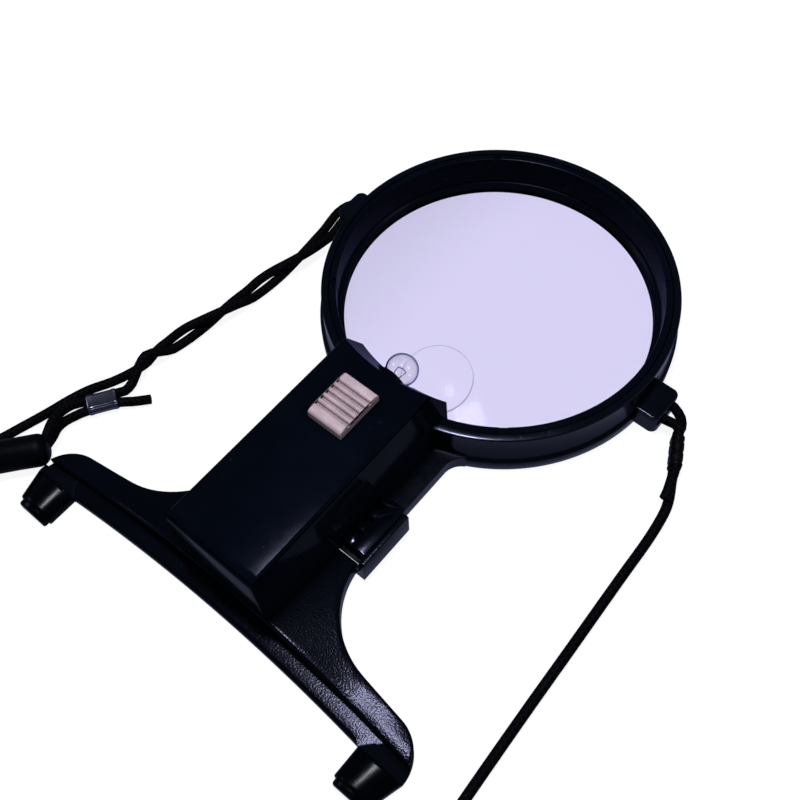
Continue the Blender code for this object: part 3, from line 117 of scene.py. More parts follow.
class RingSizes(bpy.types.PropertyGroup):
    radius: length("Radius", "Outer radius of the lens ring", 62.0)
    height: length("Height", "Height of the lens ring", 17.6)
    bore: length("Bore", "Radius of the ring's bore", 59.5)
    foot_radius: length("Foot radius", "Radius of the thicker foot of the ring", 63.4)
    foot_height: length("Foot height", "Height of the thicker foot", 5.0)
    window: length("Window", "Radius of the opening under the lens", 54.9)
    seat: length("Seat", "Thickness of the ledge under the lens", 0.9)
    retainer_inner: length("Retainer inner radius", "Inner radius of the retaining ring", 56.75)
    retainer_lip: length("Retainer lip radius", "Inner radius of the retaining ring's lip", 55.2)
    retainer_bottom: length("Retainer bottom", "Height of the retaining ring's underside", 3.0)
    notch: length("Notch width", "Width of the four notches for the ring key", 3.0)
    lug_reach: length("Lug reach", "How far a lug stands out of the ring", 8.6)
    lug_half: length("Lug half width", "Half the width of a lug", 7.0)
    lug_top: length("Lug top", "Height of a lug", 8.8)
    arm_half: length("Arm half width", "Half the width of the arm", 25.7)
    arm_top: length("Arm top", "Height of the arm's top", 5.4)
    arm_reach: length("Arm reach", "Reach of the arm's end from the lens centre", 103.8)
    rail_top: length("Rail top", "Height of the notched rails", 10.0)
    steps: IntProperty(name="Steps", description="Facets round the ring", default=224, min=32, max=512)


class LensSizes(bpy.types.PropertyGroup):
    radius: length("Radius", "Outer radius of the lens", 58.9)
    dome: length("Dome radius", "Radius where the dome starts", 55.0)
    edge: length("Edge", "Height of the lens's edge", 1.5)
    rise: length("Rise", "Height of the dome over the lens's edge", 7.4)
    segment: length("Segment radius", "Radius of the strong segment", 12.4)
    segment_reach: length("Segment reach", "Distance of the strong segment from the lens axis", 38.8)
    segment_rise: length("Segment rise", "Height of the strong segment over the dome", 1.3)


class LightSizes(bpy.types.PropertyGroup):
    top: length("Top", "Height of the light case's top", 37.8)
    top_half: length("Top half width", "Half the width of the case at its top", 17.0)
    draft: plain("Draft", "Widening of the case for its depth", 0.0405)
    lid: length("Lid thickness", "Thickness of the cover", 2.0)
    end_round: length("End round", "Rounding of the top edge at the wearer's end", 3.5)
    wall: length("Wall", "Thickness of the case's walls", 1.7)
    hood: length("Hood radius", "Radius of the hood's front about the lens axis", 62.2)
    ribs: IntProperty(name="Ribs", description="Ribs across the switch knob", default=6, min=3, max=12)


class PlateSizes(bpy.types.PropertyGroup):
    wing_top: length("Wing top", "Height of the plate's wings", 5.0)
    flange: length("Flange top", "Height of the flange at the front", 3.0)
    step: length("Step reach", "Reach of the step in front of the light case", 137.9)
    front: length("Front reach", "Reach of the hollow front edge at its middle", 144.0)
    hollow: length("Hollow radius", "Radius to which the front is hollowed", 678.0)
    fairing: length("Fairing top", "Height of the plate against the end of the light case", 9.8)
    neck: length("Neck reach", "Reach of the neck at the hinge", 105.5)


class CordSizes(bpy.types.PropertyGroup):
    diameter: length("Diameter", "Diameter of the cord", 3.4)
    strands: IntProperty(name="Strands", description="Strands each way round the braid", default=8, min=4, max=24)


class Colours(bpy.types.PropertyGroup):
    plastic: colour("Black plastic", "Colour of the moulded plastic", (0.0013, 0.0022, 0.0045))
    rubber: colour("Rubber", "Colour of the rubber feet", (0.0004, 0.0006, 0.0012))
    lens: colour("Lens", "Tint of the lens", (0.725, 0.69, 0.94))
    knob: colour("Knob", "Colour of the switch knob", (0.47, 0.345, 0.355))
    braid: colour("Braid", "Colour of the cord", (0.0010, 0.0010, 0.0014))
    steel: colour("Steel", "Colour of bright steel", (0.17, 0.16, 0.21))
    brass: colour("Brass", "Colour of the brass strips", (0.72, 0.52, 0.24))
    backdrop: colour("Backdrop", "Colour of the floor and the backdrop", (1.0, 1.0, 1.0))


class StageSizes(bpy.types.PropertyGroup):
    place: FloatVectorProperty(name="Camera place", description="Where the camera stands", size=3,
                               default=(0.119887, -0.136821, 0.313766), subtype="XYZ", unit="LENGTH")
    turn: plain("Turn", "Camera azimuth", math.radians(42.53), "ANGLE")
    height: plain("Elevation", "Camera elevation", math.radians(59.77), "ANGLE")
    roll: plain("Roll", "Camera roll", math.radians(-3.03), "ANGLE")
    focal: plain("Focal length", "Focal length on a 36 mm sensor", 47.6)
    key: plain("Key light", "Power of the lamp overhead in watts", 5.0)
    fill: plain("Fill light", "Power of the lamps at the sides in watts", 0.9)
    sky: plain("Sky", "Strength of the light from all round", 0.35)


GROUPS = {
    "magnifier_ring": RingSizes,
    "magnifier_lens": LensSizes,
    "magnifier_light": LightSizes,
    "magnifier_plate": PlateSizes,
    "magnifier_cord": CordSizes,
    "magnifier_colours": Colours,
    "magnifier_stage": StageSizes,
}


class Sizes:
    """A group's values, with its lengths in millimetres."""

    def __init__(self, group):
        for name in type(group).__annotations__:
            value = getattr(group, name)
            if group.bl_rna.properties[name].subtype == "DISTANCE":
                value /= MM
            setattr(self, name, value)


# ---------------------------------------------------------------- shader building

class Value:
    """A socket that can be used in sums."""

    def __init__(self, finish, socket):
        self.finish = finish
        self.socket = socket

    def maths(self, operation, *others):
        return self.finish.node("ShaderNodeMath", {"operation": operation}, dict(enumerate((self, *others))))

    def __add__(self, other):
        return self.maths("ADD", other)

    def __mul__(self, other):
        return self.maths("MULTIPLY", other)

    def __sub__(self, other):
        return self.maths("SUBTRACT", other)

    def __pow__(self, other):
        return self.maths("POWER", other)

    def sine(self):
        return self.maths("SINE")

    def size(self):
        return self.maths("ABSOLUTE")

    def highest(self, other):
        return self.maths("MAXIMUM", other)

    def clear(self, low, high):
        """Nought at low, one at high and smooth between."""
        return self.finish.node("ShaderNodeMapRange", {"interpolation_type": "SMOOTHSTEP"},
                                {"Value": self, "From Min": low, "From Max": high})


class Finish:
    """A material and the nodes in it."""

    def __init__(self, name, base, roughness, **sockets):
        self.material = bpy.data.materials.new(name)
        self.material.use_nodes = True
        self.tree = self.material.node_tree
        self.shader = self.tree.nodes["Principled BSDF"]
        self.set("Base Color", base)
        self.set("Roughness", roughness)
        for socket, value in sockets.items():
            self.set(socket.replace("_", " "), value)

    def node(self, kind, settings=None, inputs=None, output=0):
        made = self.tree.nodes.new(kind)
        for name, value in (settings or {}).items():
            setattr(made, name, value)
        for name, value in (inputs or {}).items():
            self.feed(made.inputs[name], value)
        return Value(self, made.outputs[output])

    def feed(self, socket, value):
        if isinstance(value, Value):
            self.tree.links.new(value.socket, socket)
        elif socket.type == "RGBA":
            socket.default_value = opaque(value)
        else:
            socket.default_value = value

    def set(self, name, value):
        self.feed(self.shader.inputs[name], value)

    def place(self, scale=(1.0, 1.0, 1.0), centre=(0.0, 0.0, 0.0)):
        """Object coordinates, scaled and then measured from a centre."""
        return self.node("ShaderNodeMapping", None, {
            "Vector": self.node("ShaderNodeTexCoord", output=3), "Location": [-value for value in centre],
            "Scale": scale})

    def place_in_mm(self, centre=(0.0, 0.0, 0.0)):
        return self.parts(self.place((1.0 / MM,) * 3, centre))

    def noise(self, where, scale, detail=2.0, roughness=0.5):
        return self.node("ShaderNodeTexNoise", None, {"Vector": where, "Scale": scale, "Detail": detail,
                                                      "Roughness": roughness})

    def cells(self, where, scale):
        return self.node("ShaderNodeTexVoronoi", None, {"Vector": where, "Scale": scale})

    def parts(self, vector):
        split = self.tree.nodes.new("ShaderNodeSeparateXYZ")
        self.tree.links.new(vector.socket, split.inputs[0])
        return [Value(self, socket) for socket in split.outputs]

    def blend(self, factor, first, second):
        return self.node("ShaderNodeMix", {"data_type": "RGBA"}, {0: factor, 6: first, 7: second}, 2)

    def done(self, base, roughness, height, depth):
        """Feed the colour, the roughness and a relief this deep in millimetres; give the material."""
        self.set("Base Color", base)
        self.set("Roughness", roughness)
        self.set("Normal", self.node("ShaderNodeBump", None, {"Height": height, "Distance": depth * MM,
                                                              "Strength": 1.0}))
        return self.material


def opaque(tone):
    return (*tone, 1.0)


def shade(tone, factor):
    """A colour made lighter or darker."""
    return tuple(min(1.0, value * factor) for value in tone)


def moulded_plastic(name, base, gloss, grain, depth, shine):
    """Injection-moulded plastic: an even fine grain, faint flow marks and a little dust and rubbing."""
    finish = Finish(name, base, gloss, IOR=shine, Specular_Tint=(0.70, 0.72, 1.0))
    where = finish.place()
    flow = finish.noise(where, 38.0, 3.0, 0.55)
    fine = finish.noise(where, grain, 2.0, 0.6)
    dust = finish.cells(where, 420.0).clear(0.16, 0.05)
    specks = dust * finish.noise(where, 150.0, 1.0).clear(0.62, 0.7)
    tone = finish.blend(flow.clear(0.35, 0.7), shade(base, 0.85), shade(base, 1.25))
    rub = finish.noise(where, 90.0, 4.0, 0.65).clear(0.45, 0.75)
    return finish.done(finish.blend(specks * 0.6, tone, shade(base, 9.0)),
                       flow * 0.06 + rub * 0.05 + fine * 0.08 + specks * 0.3 + (gloss - 0.09),
                       fine * 0.8 + specks * 0.4 + flow * 0.05, depth)


def grained_plastic(name, base, gloss):
    """The plate's spark-grained plastic: bright small facets, and matt dark ends where the feet go on."""
    finish = Finish(name, base, gloss, IOR=1.19, Specular_Tint=(0.74, 0.74, 1.0))
    where = finish.place()
    across, along, up = finish.place_in_mm()
    slant = across.size() - along * 0.9 + 0.9 * LENS_Y
    ends = slant.clear(193.4, 194.2) * up.clear(3.6, 3.3)
    flow = finish.noise(where, 38.0, 3.0, 0.55)
    spark = finish.noise(where, 1600.0, 1.0, 0.5)
    smear = finish.noise(where, 90.0, 4.0, 0.65).clear(0.5, 0.75)
    return finish.done(finish.blend(flow.clear(0.35, 0.7), shade(base, 0.85), shade(base, 1.25)),
                       flow * 0.04 + smear * 0.03 + ends * 0.8 + (gloss - 0.03), spark + flow * 0.05, 0.048)


def rubber(name, base, gloss):
    """Glossy soft rubber with a very faint orange peel."""
    finish = Finish(name, base, gloss, IOR=1.13)
    where = finish.place()
    peel = finish.noise(where, 260.0)
    smear = finish.noise(where, 70.0, 4.0, 0.6).clear(0.4, 0.75)
    return finish.done(finish.blend(smear, base, shade(base, 1.5)), smear * 0.12 + peel * 0.05 + (gloss - 0.05),
                       peel, 0.05)


def clear_lens(name, tint):
    """Clear acrylic with the faintest tint, a few tiny specks, a painted dark line of shade round the strong segment's
    edge, and painted shade over the lens's left part.
    """
    finish = Finish(name, tint, 0.0, IOR=1.49, Transmission_Weight=1.0, Specular_Tint=(0.03, 0.03, 0.04))
    where = finish.place()
    across, along, up = finish.place_in_mm(SEGMENT_PLACE)
    reach = (across * across + along * along) ** 0.5
    a, b, c, d = SEGMENT_EDGE_SHADE
    # Painted shade: a dark line round the strong segment's edge, standing in for the darkening that its edge wall gives
    # the clear lens.
    segment_edge_shade = reach.clear(a, b) * reach.clear(d, c) * up.clear(LENS_BOTTOM + 2.0, LENS_BOTTOM + 2.5)
    speck = finish.cells(where, 46.0).clear(0.035, 0.02)
    seldom = finish.noise(where, 21.0, 1.0).clear(0.66, 0.7)
    # Painted shade: the lens's left part is tinted darker.
    left = finish.parts(where)[0].clear(-0.012, -0.055)
    tone = finish.blend(left * 0.9, tint, shade(tint, 0.87))
    tone = finish.blend(speck * seldom, tone, shade(tint, 0.35))
    finish.set("Base Color", finish.blend(segment_edge_shade * 0.6, tone, shade(tint, 0.25)))
    finish.set("Roughness", finish.noise(where, 60.0).clear(0.6, 0.9) * 0.01)
    return finish.material


def clear_glass(name):
    """Thin lamp glass with a faint film."""
    finish = Finish(name, (0.95, 0.95, 0.97), 0.0, IOR=1.45, Transmission_Weight=1.0)
    film = finish.noise(finish.place(), 300.0, 3.0).clear(0.5, 0.85)
    finish.set("Base Color", finish.blend(film, (1.0, 0.99, 1.0), (0.93, 0.92, 0.97)))
    finish.set("Roughness", film * 0.04)
    return finish.material


def metal(name, base, roughness, drawn):
    """Rolled or drawn metal: fine lines across the way it is drawn, dulling and a few dark nicks."""
    finish = Finish(name, base, roughness, Metallic=1.0)
    lines = finish.noise(finish.place(drawn), 900.0, 2.0, 0.7)
    where = finish.place()
    dull = finish.noise(where, 160.0, 4.0, 0.6).clear(0.45, 0.8)
    nick = finish.cells(where, 520.0).clear(0.12, 0.05)
    return finish.done(finish.blend(dull * 0.7 + nick * 0.3, base, shade(base, 0.45)),
                       lines * 0.12 + dull * 0.2 + (roughness - 0.06), lines + nick, 0.01)


def knob_plastic(name, base):
    """Dusty matt beige plastic, with painted shade in the grooves between the ribs."""
    finish = Finish(name, base, 0.55, IOR=1.45)
    where = finish.place()
    mottle = finish.noise(where, 210.0, 4.0, 0.65)
    dirt = finish.noise(where, 560.0, 3.0, 0.7).clear(0.55, 0.8)
    # Painted shade: the knob is darkened below its rib crests, in the grooves between the ribs.
    low = finish.place_in_mm()[2].clear(KNOB_TOP - 0.7, KNOB_TOP - 1.5)
    tone = finish.blend(mottle.clear(0.3, 0.7), shade(base, 0.86), shade(base, 1.1))
    tone = finish.blend(low * 0.5, tone, shade(base, 0.35))
    return finish.done(finish.blend(dirt * 0.2, tone, shade(base, 0.6)), mottle * 0.15 + 0.42,
                       mottle * 0.5 + dirt * 0.5, 0.03)


def braided_cord(name, base, strands, pitch=2.1):
    """A round braid: two sets of strands that pass over and under each other round the cord."""
    finish = Finish(name, base, 0.62, IOR=1.1)
    around, along, _ = finish.parts(finish.node("ShaderNodeUVMap", {"uv_map": "wrap"}))
    turns, steps = math.pi * strands, math.tau / (pitch * MM)
    first = (around * turns + along * steps).sine()
    second = (around * turns - along * steps).sine()
    weave = first.highest(second) * 0.5 + 0.5
    fibres = finish.noise(finish.place(), 2600.0, 2.0, 0.7)
    worn = finish.noise(finish.place(), 420.0, 3.0, 0.6)
    # Painted shade and highlight: the gaps between the strands are darker and their crests lighter.
    tone = finish.blend(weave.clear(0.25, 0.95), shade(base, 0.35), shade(base, 1.7))
    tone = finish.blend(fibres.clear(0.55, 0.8) * 0.6, tone, shade(base, 4.5))
    return finish.done(finish.blend(worn.clear(0.6, 0.75) * 0.25, tone, (0.008, 0.016, 0.017)),
                       fibres * 0.3 + 0.42, weave + fibres * 0.35, 0.16)


def cloth_sleeve(name, base):
    """Dull heat-shrunk sleeve with faint creases."""
    finish = Finish(name, base, 0.5, IOR=1.15)
    crease = finish.noise(finish.place(), 520.0, 4.0, 0.65)
    return finish.done(finish.blend(crease.clear(0.4, 0.75), shade(base, 0.8), shade(base, 1.8)),
                       crease * 0.25 + 0.34, crease, 0.08)


def board(name, base=(0.16, 0.075, 0.032)):
    """Brown laminated board with short fibres."""
    finish = Finish(name, base, 0.6)
    fibre = finish.noise(finish.place((1.0, 6.0, 6.0)), 420.0, 3.0, 0.7)
    return finish.done(finish.blend(fibre.clear(0.3, 0.75), (0.11, 0.05, 0.022), (0.23, 0.12, 0.055)),
                       fibre * 0.2 + 0.5, fibre, 0.03)


def cell_jacket(name, base=(0.02, 0.06, 0.045)):
    """Plain lacquered cell jacket with a darker band and scuffs."""
    finish = Finish(name, base, 0.3)
    along = finish.place_in_mm()[1]
    scuff = finish.noise(finish.place(), 120.0, 4.0, 0.6).clear(0.5, 0.8)
    tone = finish.blend(along.clear(-78.0, -77.6), base, (0.012, 0.014, 0.018))
    return finish.done(finish.blend(scuff * 0.4, tone, (0.12, 0.14, 0.13)), scuff * 0.25 + 0.24, scuff, 0.01)


FINISHES = {}


def make_finishes(tones, strands):
    """All the materials, by name."""
    FINISHES.update({
        "case": moulded_plastic("Case plastic", tones.plastic, 0.13, 1500.0, 0.002, 1.075),
        "ring": moulded_plastic("Ring plastic", shade(tones.plastic, 0.5), 0.18, 1200.0, 0.003, 1.35),
        "retainer": moulded_plastic("Retainer plastic", tones.plastic, 0.22, 1200.0, 0.004, 1.12),
        "plate": grained_plastic("Grained plate plastic", shade(tones.plastic, 0.6), 0.19),
        "rubber": rubber("Rubber", tones.rubber, 0.22),
        "slide": rubber("Slide rubber", tones.rubber, 0.42),
        "lens": clear_lens("Clear lens", tones.lens),
        "glass": clear_glass("Lamp glass"),
        "knob": knob_plastic("Knob plastic", tones.knob),
        "steel": metal("Bright steel", tones.steel, 0.22, (1.0, 1.0, 8.0)),
        "brass": metal("Strip brass", tones.brass, 0.3, (1.0, 8.0, 1.0)),
        "braid": braided_cord("Braided cord", tones.braid, strands),
        "sleeve": cloth_sleeve("Crimped sleeve", shade(tones.braid, 1.1)),
        "board": board("Laminated board"),
        "jacket": cell_jacket("Cell jacket"),
    })


# ---------------------------------------------------------------- modelling

def select(piece=None):
    """Select only this piece, or nothing."""
    for other in bpy.context.view_layer.objects:
        other.select_set(False)
    bpy.context.view_layer.objects.active = piece
    if piece:
        piece.select_set(True)


def edit(piece, action="SELECT"):
    select(piece)
    bpy.ops.object.mode_set(mode="EDIT")
    bpy.ops.mesh.select_mode(type="VERT")
    bpy.ops.mesh.select_all(action=action)


def leave():
    bpy.ops.object.mode_set(mode="OBJECT")


def tidy(piece):
    """Merge doubles and turn all faces outwards."""
    edit(piece)
    bpy.ops.mesh.remove_doubles(threshold=0.000002)
    bpy.ops.mesh.normals_make_consistent(inside=False)
    leave()


def named(name):
    """The object just added, under its own name."""
    piece = bpy.context.object
    piece.name = piece.data.name = name
    return piece


def settle(piece):
    """Keep the piece's place in its mesh."""
    select(piece)
    bpy.ops.object.transform_apply(location=True, rotation=True, scale=True)
    return piece


def put(piece, place):
    piece.matrix_world = place
    return settle(piece)


def at(x, y, z, turn=0.0, axis="Z"):
    """A place, and a turn about an axis through it."""
    return Matrix.Translation((x * MM, y * MM, z * MM)) @ Matrix.Rotation(turn, 4, axis)


def smooth(piece, angle):
    select(piece)
    bpy.ops.object.shade_smooth_by_angle(angle=math.radians(angle))


def carve(piece, *tools, operation="DIFFERENCE"):
    """Cut tools out of a piece, or join them to it, and remove them."""
    for tool in tools:
        select(piece)
        modifier = piece.modifiers.new("Boolean", "BOOLEAN")
        modifier.operation = operation
        modifier.solver = "EXACT"
        modifier.object = tool
        bpy.ops.object.modifier_apply(modifier=modifier.name)
        bpy.data.objects.remove(tool, do_unlink=True)


def flat(name, outline, low):
    """A flat face in edit mode."""
    select()
    bpy.ops.mesh.primitive_circle_add(vertices=len(outline), radius=1.0, fill_type="NGON")
    piece = named(name)
    for vertex, (x, y) in zip(piece.data.vertices, outline):
        vertex.co = (x * MM, y * MM, low * MM)
    edit(piece)
    return piece


def ring_of(name, profile, steps, centre=(0.0, 0.0), closed=False):
    """A loop of points drawn out through a profile of (radius, height), round an upright axis."""
    x, y = (value * MM for value in centre)
    radius, height = profile[0]
    select()
    bpy.ops.mesh.primitive_circle_add(vertices=steps, radius=radius * MM, fill_type="NOTHING",
                                      location=(x, y, height * MM))
    piece = settle(named(name))
    edit(piece)
    for (radius, height), (next_radius, next_height) in zip(profile, profile[1:]):
        bpy.ops.mesh.extrude_edges_move(TRANSFORM_OT_translate={"value": (0.0, 0.0, (next_height - height) * MM)})
        factor = next_radius / radius
        bpy.ops.transform.resize(value=(factor, factor, 1.0), center_override=(x, y, next_height * MM))
    bpy.ops.mesh.select_all(action="DESELECT")
    bpy.ops.mesh.select_non_manifold()
    if closed:
        bpy.ops.mesh.bridge_edge_loops()
    else:
        bpy.ops.mesh.fill_holes(sides=0)
    leave()
    tidy(piece)
    return piece


def plate_of(name, outline, low, high):
    """A flat outline drawn up from one height to another."""
    piece = flat(name, outline, low)
    bpy.ops.mesh.extrude_region_move(TRANSFORM_OT_translate={"value": (0.0, 0.0, (high - low) * MM)})
    leave()
    tidy(piece)
    return piece


def side_plate(name, outline, low, high):
    """An outline in (Y, Z) with its thickness along X."""
    return put(plate_of(name, outline, low, high), Matrix(((0, 0, 1, 0), (1, 0, 0, 0), (0, 1, 0, 0), (0, 0, 0, 1))))


def box_of(name, *spans):
    """A block between two values along each axis."""
    select()
    bpy.ops.mesh.primitive_cube_add(size=1.0, location=[(low + high) / 2 * MM for low, high in spans],
                                    scale=[abs(high - low) * MM for low, high in spans])
    return settle(named(name))


def loft(name, section, stations, place):
    """A flat section drawn along its own Z through (height, width scale, depth scale), then put in place."""
    height, wide, deep = stations[0]
    piece = flat(name, [(x * wide, y * deep) for x, y in section], height)
    for (low, last_wide, last_deep), (high, wide, deep) in zip(stations, stations[1:]):
        bpy.ops.mesh.extrude_region_move(TRANSFORM_OT_translate={"value": (0.0, 0.0, (high - low) * MM)})
        bpy.ops.transform.resize(value=(wide / last_wide, deep / last_deep, 1.0), center_override=(0, 0, high * MM))
    leave()
    tidy(piece)
    return put(piece, place)


def slice_at(place, normal):
    """Divide the faces of the piece in edit mode by a plane."""
    bpy.ops.mesh.select_all(action="SELECT")
    bpy.ops.mesh.bisect(plane_co=[value * MM for value in place], plane_no=normal)


def round_edges(piece, wanted, width, segments):
    """Bevel the edges that a test picks by their two ends."""
    edit(piece, "DESELECT")
    bpy.ops.mesh.select_mode(type="EDGE")
    leave()
    mesh = piece.data
    for edge in mesh.edges:
        edge.select = bool(wanted(*(mesh.vertices[index].co / MM for index in edge.vertices)))
    if not any(edge.select for edge in mesh.edges):
        raise RuntimeError(f"{piece.name}: no edge to round")
    bpy.ops.object.mode_set(mode="EDIT")
    bpy.ops.mesh.bevel(offset=width * MM, segments=segments, affect="EDGES", profile=0.5)
    bpy.ops.mesh.select_mode(type="VERT")
    leave()


def at_height(level):
    """A test for edges that lie at a height."""
    return lambda a, b: abs(a.z - level) < 0.02 and abs(b.z - level) < 0.02


def rounded(corners, fineness=6):
    """An outline from (x, y, radius) corners, each rounded by an arc with a step of so many degrees."""
    corners = [[value * MM for value in corner] for corner in corners]  # rounded off as in the mesh
    points = []
    for i, (x, y, radius) in enumerate(corners):
        here = Vector((x, y))
        if radius <= 0:
            points.append((x, y))
            continue
        to_last = (Vector(corners[i - 1][:2]) - here).normalized()
        to_next = (Vector(corners[(i + 1) % len(corners)][:2]) - here).normalized()
        half = to_last.angle(to_next) / 2
        centre = here + (to_last + to_next).normalized() * radius / math.sin(half)
        first = here + to_last * radius / math.tan(half) - centre
        last = here + to_next * radius / math.tan(half) - centre
        sweep = first.angle_signed(last)
        count = max(2, round(abs(sweep) / math.radians(fineness)))
        for k in range(count + 1):
            points.append(centre + Matrix.Rotation(-sweep * k / count, 2) @ first)
    return [(x / MM, y / MM) for x, y in points]


def mirrored(half):
    """A whole outline from its right half."""
    return half + [(-x, y) for x, y in reversed(half) if x > 0.001]


def ease(share):
    share = min(1.0, max(0.0, share))
    return share * share * (3 - 2 * share)


def finish_piece(piece, body, material, nodes, angle=None):
    """Shade a piece, give it its material and tell the frame what it is."""
    if angle:
        smooth(piece, angle)
    paint(piece, material)
    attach(piece, body)
    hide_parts(*nodes)
    return piece


def paint(piece, material):
    piece.data.materials.clear()
    piece.data.materials.append(FINISHES[material])


# ---------------------------------------------------------------- camera, floor and light

def wire(owner, nodes, links):
    """Fill a node tree from a table of nodes and a list of links."""
    owner.use_nodes = True
    tree = owner.node_tree
    tree.nodes.clear()
    made = {}
    for name, (kind, values) in nodes.items():
        made[name] = tree.nodes.new("ShaderNode" + kind)
        for socket, value in values.items():
            made[name].inputs[socket].default_value = value
    for start, output, end, entry in links:
        tree.links.new(made[start].outputs[output], made[end].inputs[entry])
    return made


def glowing(kind, tone, strength):
    return kind, {"Color": opaque(tone), "Strength": strength}


class MAGNIFIER_OT_stage(bpy.types.Operator):
    """Make the camera, the floor, the lamps and the light from all round"""
    bl_idname = "magnifier.stage"
    bl_label = "Stage"

    def execute(self, context):
        sizes = context.scene.magnifier_stage
        self.camera(context.scene, sizes)
        self.floor(context.scene.magnifier_colours.backdrop)
        self.lamps(context.scene, sizes)
        self.world(context.scene, sizes)
        context.scene.view_settings.view_transform = "Standard"
        return {"FINISHED"}

    def camera(self, scene, sizes):
        turn, height = sizes.turn, sizes.height
        back = Vector((math.sin(turn) * math.cos(height), -math.cos(turn) * math.cos(height), math.sin(height)))
        right = (-back).cross(Vector((0, 0, 1))).normalized()
        up = right.cross(-back)
        leaned = math.cos(sizes.roll) * right + math.sin(sizes.roll) * up
        upper = -math.sin(sizes.roll) * right + math.cos(sizes.roll) * up
        data = bpy.data.cameras.new("camera")
        data.sensor_width = 36.0
        data.lens = sizes.focal
        data.clip_start = 0.01
        made = bpy.data.objects.new("camera", data)
        scene.collection.objects.link(made)
        made.matrix_world = Matrix.Translation(sizes.place) @ Matrix((leaned, upper, back)).transposed().to_4x4()
        scene.camera = made

    def floor(self, tone):
        """White for the camera, dim in mirrored rays, and grey paper that takes the shadow for the rest."""
        select()
        bpy.ops.mesh.primitive_plane_add(size=6.0, location=(0.0, 0.0, -0.02 * MM))
        floor = settle(named("floor"))
        material = bpy.data.materials.new("Backdrop")
        made = wire(material, {
            "paper": ("BsdfDiffuse", {"Color": opaque(shade(tone, 0.6))}),
            "shadow": ("BsdfDiffuse", {"Color": opaque(shade(tone, 0.12))}),
            "glow": glowing("Emission", tone, 0.90),
            "mirrored_glow": glowing("Emission", (0.55, 0.6, 1.0), 0.34),
            "seen_floor": ("AddShader", {}), "path": ("LightPath", {}), "seen": ("Math", {}),
            "mix": ("MixShader", {}), "mirror": ("MixShader", {}), "result": ("OutputMaterial", {}),
        }, (
            ("path", "Is Camera Ray", "seen", 0), ("path", "Is Transmission Ray", "seen", 1),
            ("shadow", 0, "seen_floor", 0), ("glow", 0, "seen_floor", 1), ("seen", 0, "mix", "Fac"),
            ("paper", 0, "mix", 1), ("seen_floor", 0, "mix", 2), ("path", "Glossy Depth", "mirror", "Fac"),
            ("mix", 0, "mirror", 1), ("mirrored_glow", 0, "mirror", 2), ("mirror", 0, "result", "Surface"),
        ))
        made["seen"].operation = "MAXIMUM"
        floor.data.materials.append(material)

    def lamps(self, scene, sizes):
        aim = Vector((0.0, -0.02, 0.015))
        for name, place, size, power in (
            ("key_lamp", (-0.052, 0.012, 0.80), 0.10, sizes.key),
            ("side_lamp", (0.60, 0.35, 0.70), 0.30, sizes.fill),
            ("back_lamp", (-0.80, -0.30, 0.55), 0.30, sizes.fill),
        ):
            data = bpy.data.lights.new(name, "AREA")
            data.shape = "RECTANGLE"
            data.size = data.size_y = size
            data.energy = power
            data.color = (0.86, 0.87, 1.0)
            made = bpy.data.objects.new(name, data)
            scene.collection.objects.link(made)
            facing = (Vector(place) - aim).to_track_quat("Z", "Y").to_matrix().to_4x4()
            made.matrix_world = Matrix.Translation(place) @ facing

    def world(self, scene, sizes):
        scene.world = bpy.data.worlds.new("Studio")
        wire(scene.world, {
            "plain": glowing("Background", (0.80, 0.90, 1.0), sizes.sky),
            "white": glowing("Background", (1.0, 1.0, 1.0), 1.0),
            "dim": glowing("Background", (0.55, 0.75, 1.0), 0.12),
            "path": ("LightPath", {}), "mirror": ("MixShader", {}), "mix": ("MixShader", {}),
            "result": ("OutputWorld", {}),
        }, (
            ("path", "Is Glossy Ray", "mirror", "Fac"), ("plain", 0, "mirror", 1), ("dim", 0, "mirror", 2),
            ("path", "Is Camera Ray", "mix", "Fac"), ("mirror", 0, "mix", 1), ("white", 0, "mix", 2),
            ("mix", 0, "result", "Surface"),
        ))


# ---------------------------------------------------------------- cords

LAY = 1.8
RIGHT_TAIL = [(83.65, 32.2, 5.7), (84.9, 28.4, 5.5), (86.4, 23.6, 5.3), (86.9, 20.9, 5.1)]
RIGHT_LOOP = [
    (78.0, 43.1, 5.7), (77.1, 44.7, 5.7), (75.2, 45.6, 5.65), (72.6, 45.3, 5.5), (70.0, 44.95, 5.4),
    (67.1, 44.95, 5.4), (64.9, 45.85, 5.4), (64.0, 48.05, 5.4), (64.9, 50.25, 5.4), (67.1, 51.15, 5.4),
    (71.2, 51.2, 5.0), (75.0, 50.0, 3.5), (76.9, 47.6, 2.2), (77.2, 45.0, 1.95), (78.0, 43.1, 1.95),
]
RIGHT_RUN = [
    (83.65, 32.2, 1.95), (85.4, 28.4, LAY), (87.7, 23.6, LAY), (89.3, 18.0, LAY), (90.4, 7.2, LAY),
    (90.9, -9.5, LAY), (91.9, -38.0, LAY), (92.7, -62.0, LAY), (93.9, -90.0, LAY), (95.2, -112.0, LAY),
    (94.6, -128.0, 2.4),
]
NECK_RUN = [
    (52.0, -172.3, 2.4), (30.0, -175.0, LAY), (8.0, -180.0, LAY), (-12.0, -181.5, LAY),
    (-28.0, -174.0, LAY), (-52.0, -152.0, LAY), (-73.0, -135.0, LAY), (-86.3, -126.7, LAY),
    (-91.6, -123.0, 2.3), (-94.4, -119.9, 3.1), (-95.2, -116.6, 4.0), (-94.6, -113.5, 5.0), (-92.9, -110.7, 5.6),
]
SLIDER_TURN = [
    (-95.9, -108.2, 5.6), (-98.4, -111.6, 5.2), (-101.2, -116.8, 3.6), (-106.2, -120.9, 2.2),
    (-111.2, -117.8, LAY), (-111.0, -111.0, LAY), (-106.6, -106.6, LAY), (-102.0, -104.0, LAY),
    (-98.6, -100.3, LAY), (-95.9, -91.5, LAY), (-93.4, -82.6, LAY), (-91.6, -75.0, LAY), (-89.2, -67.6, LAY),
    (-85.4, -60.2, LAY), (-82.9, -53.2, LAY),
]
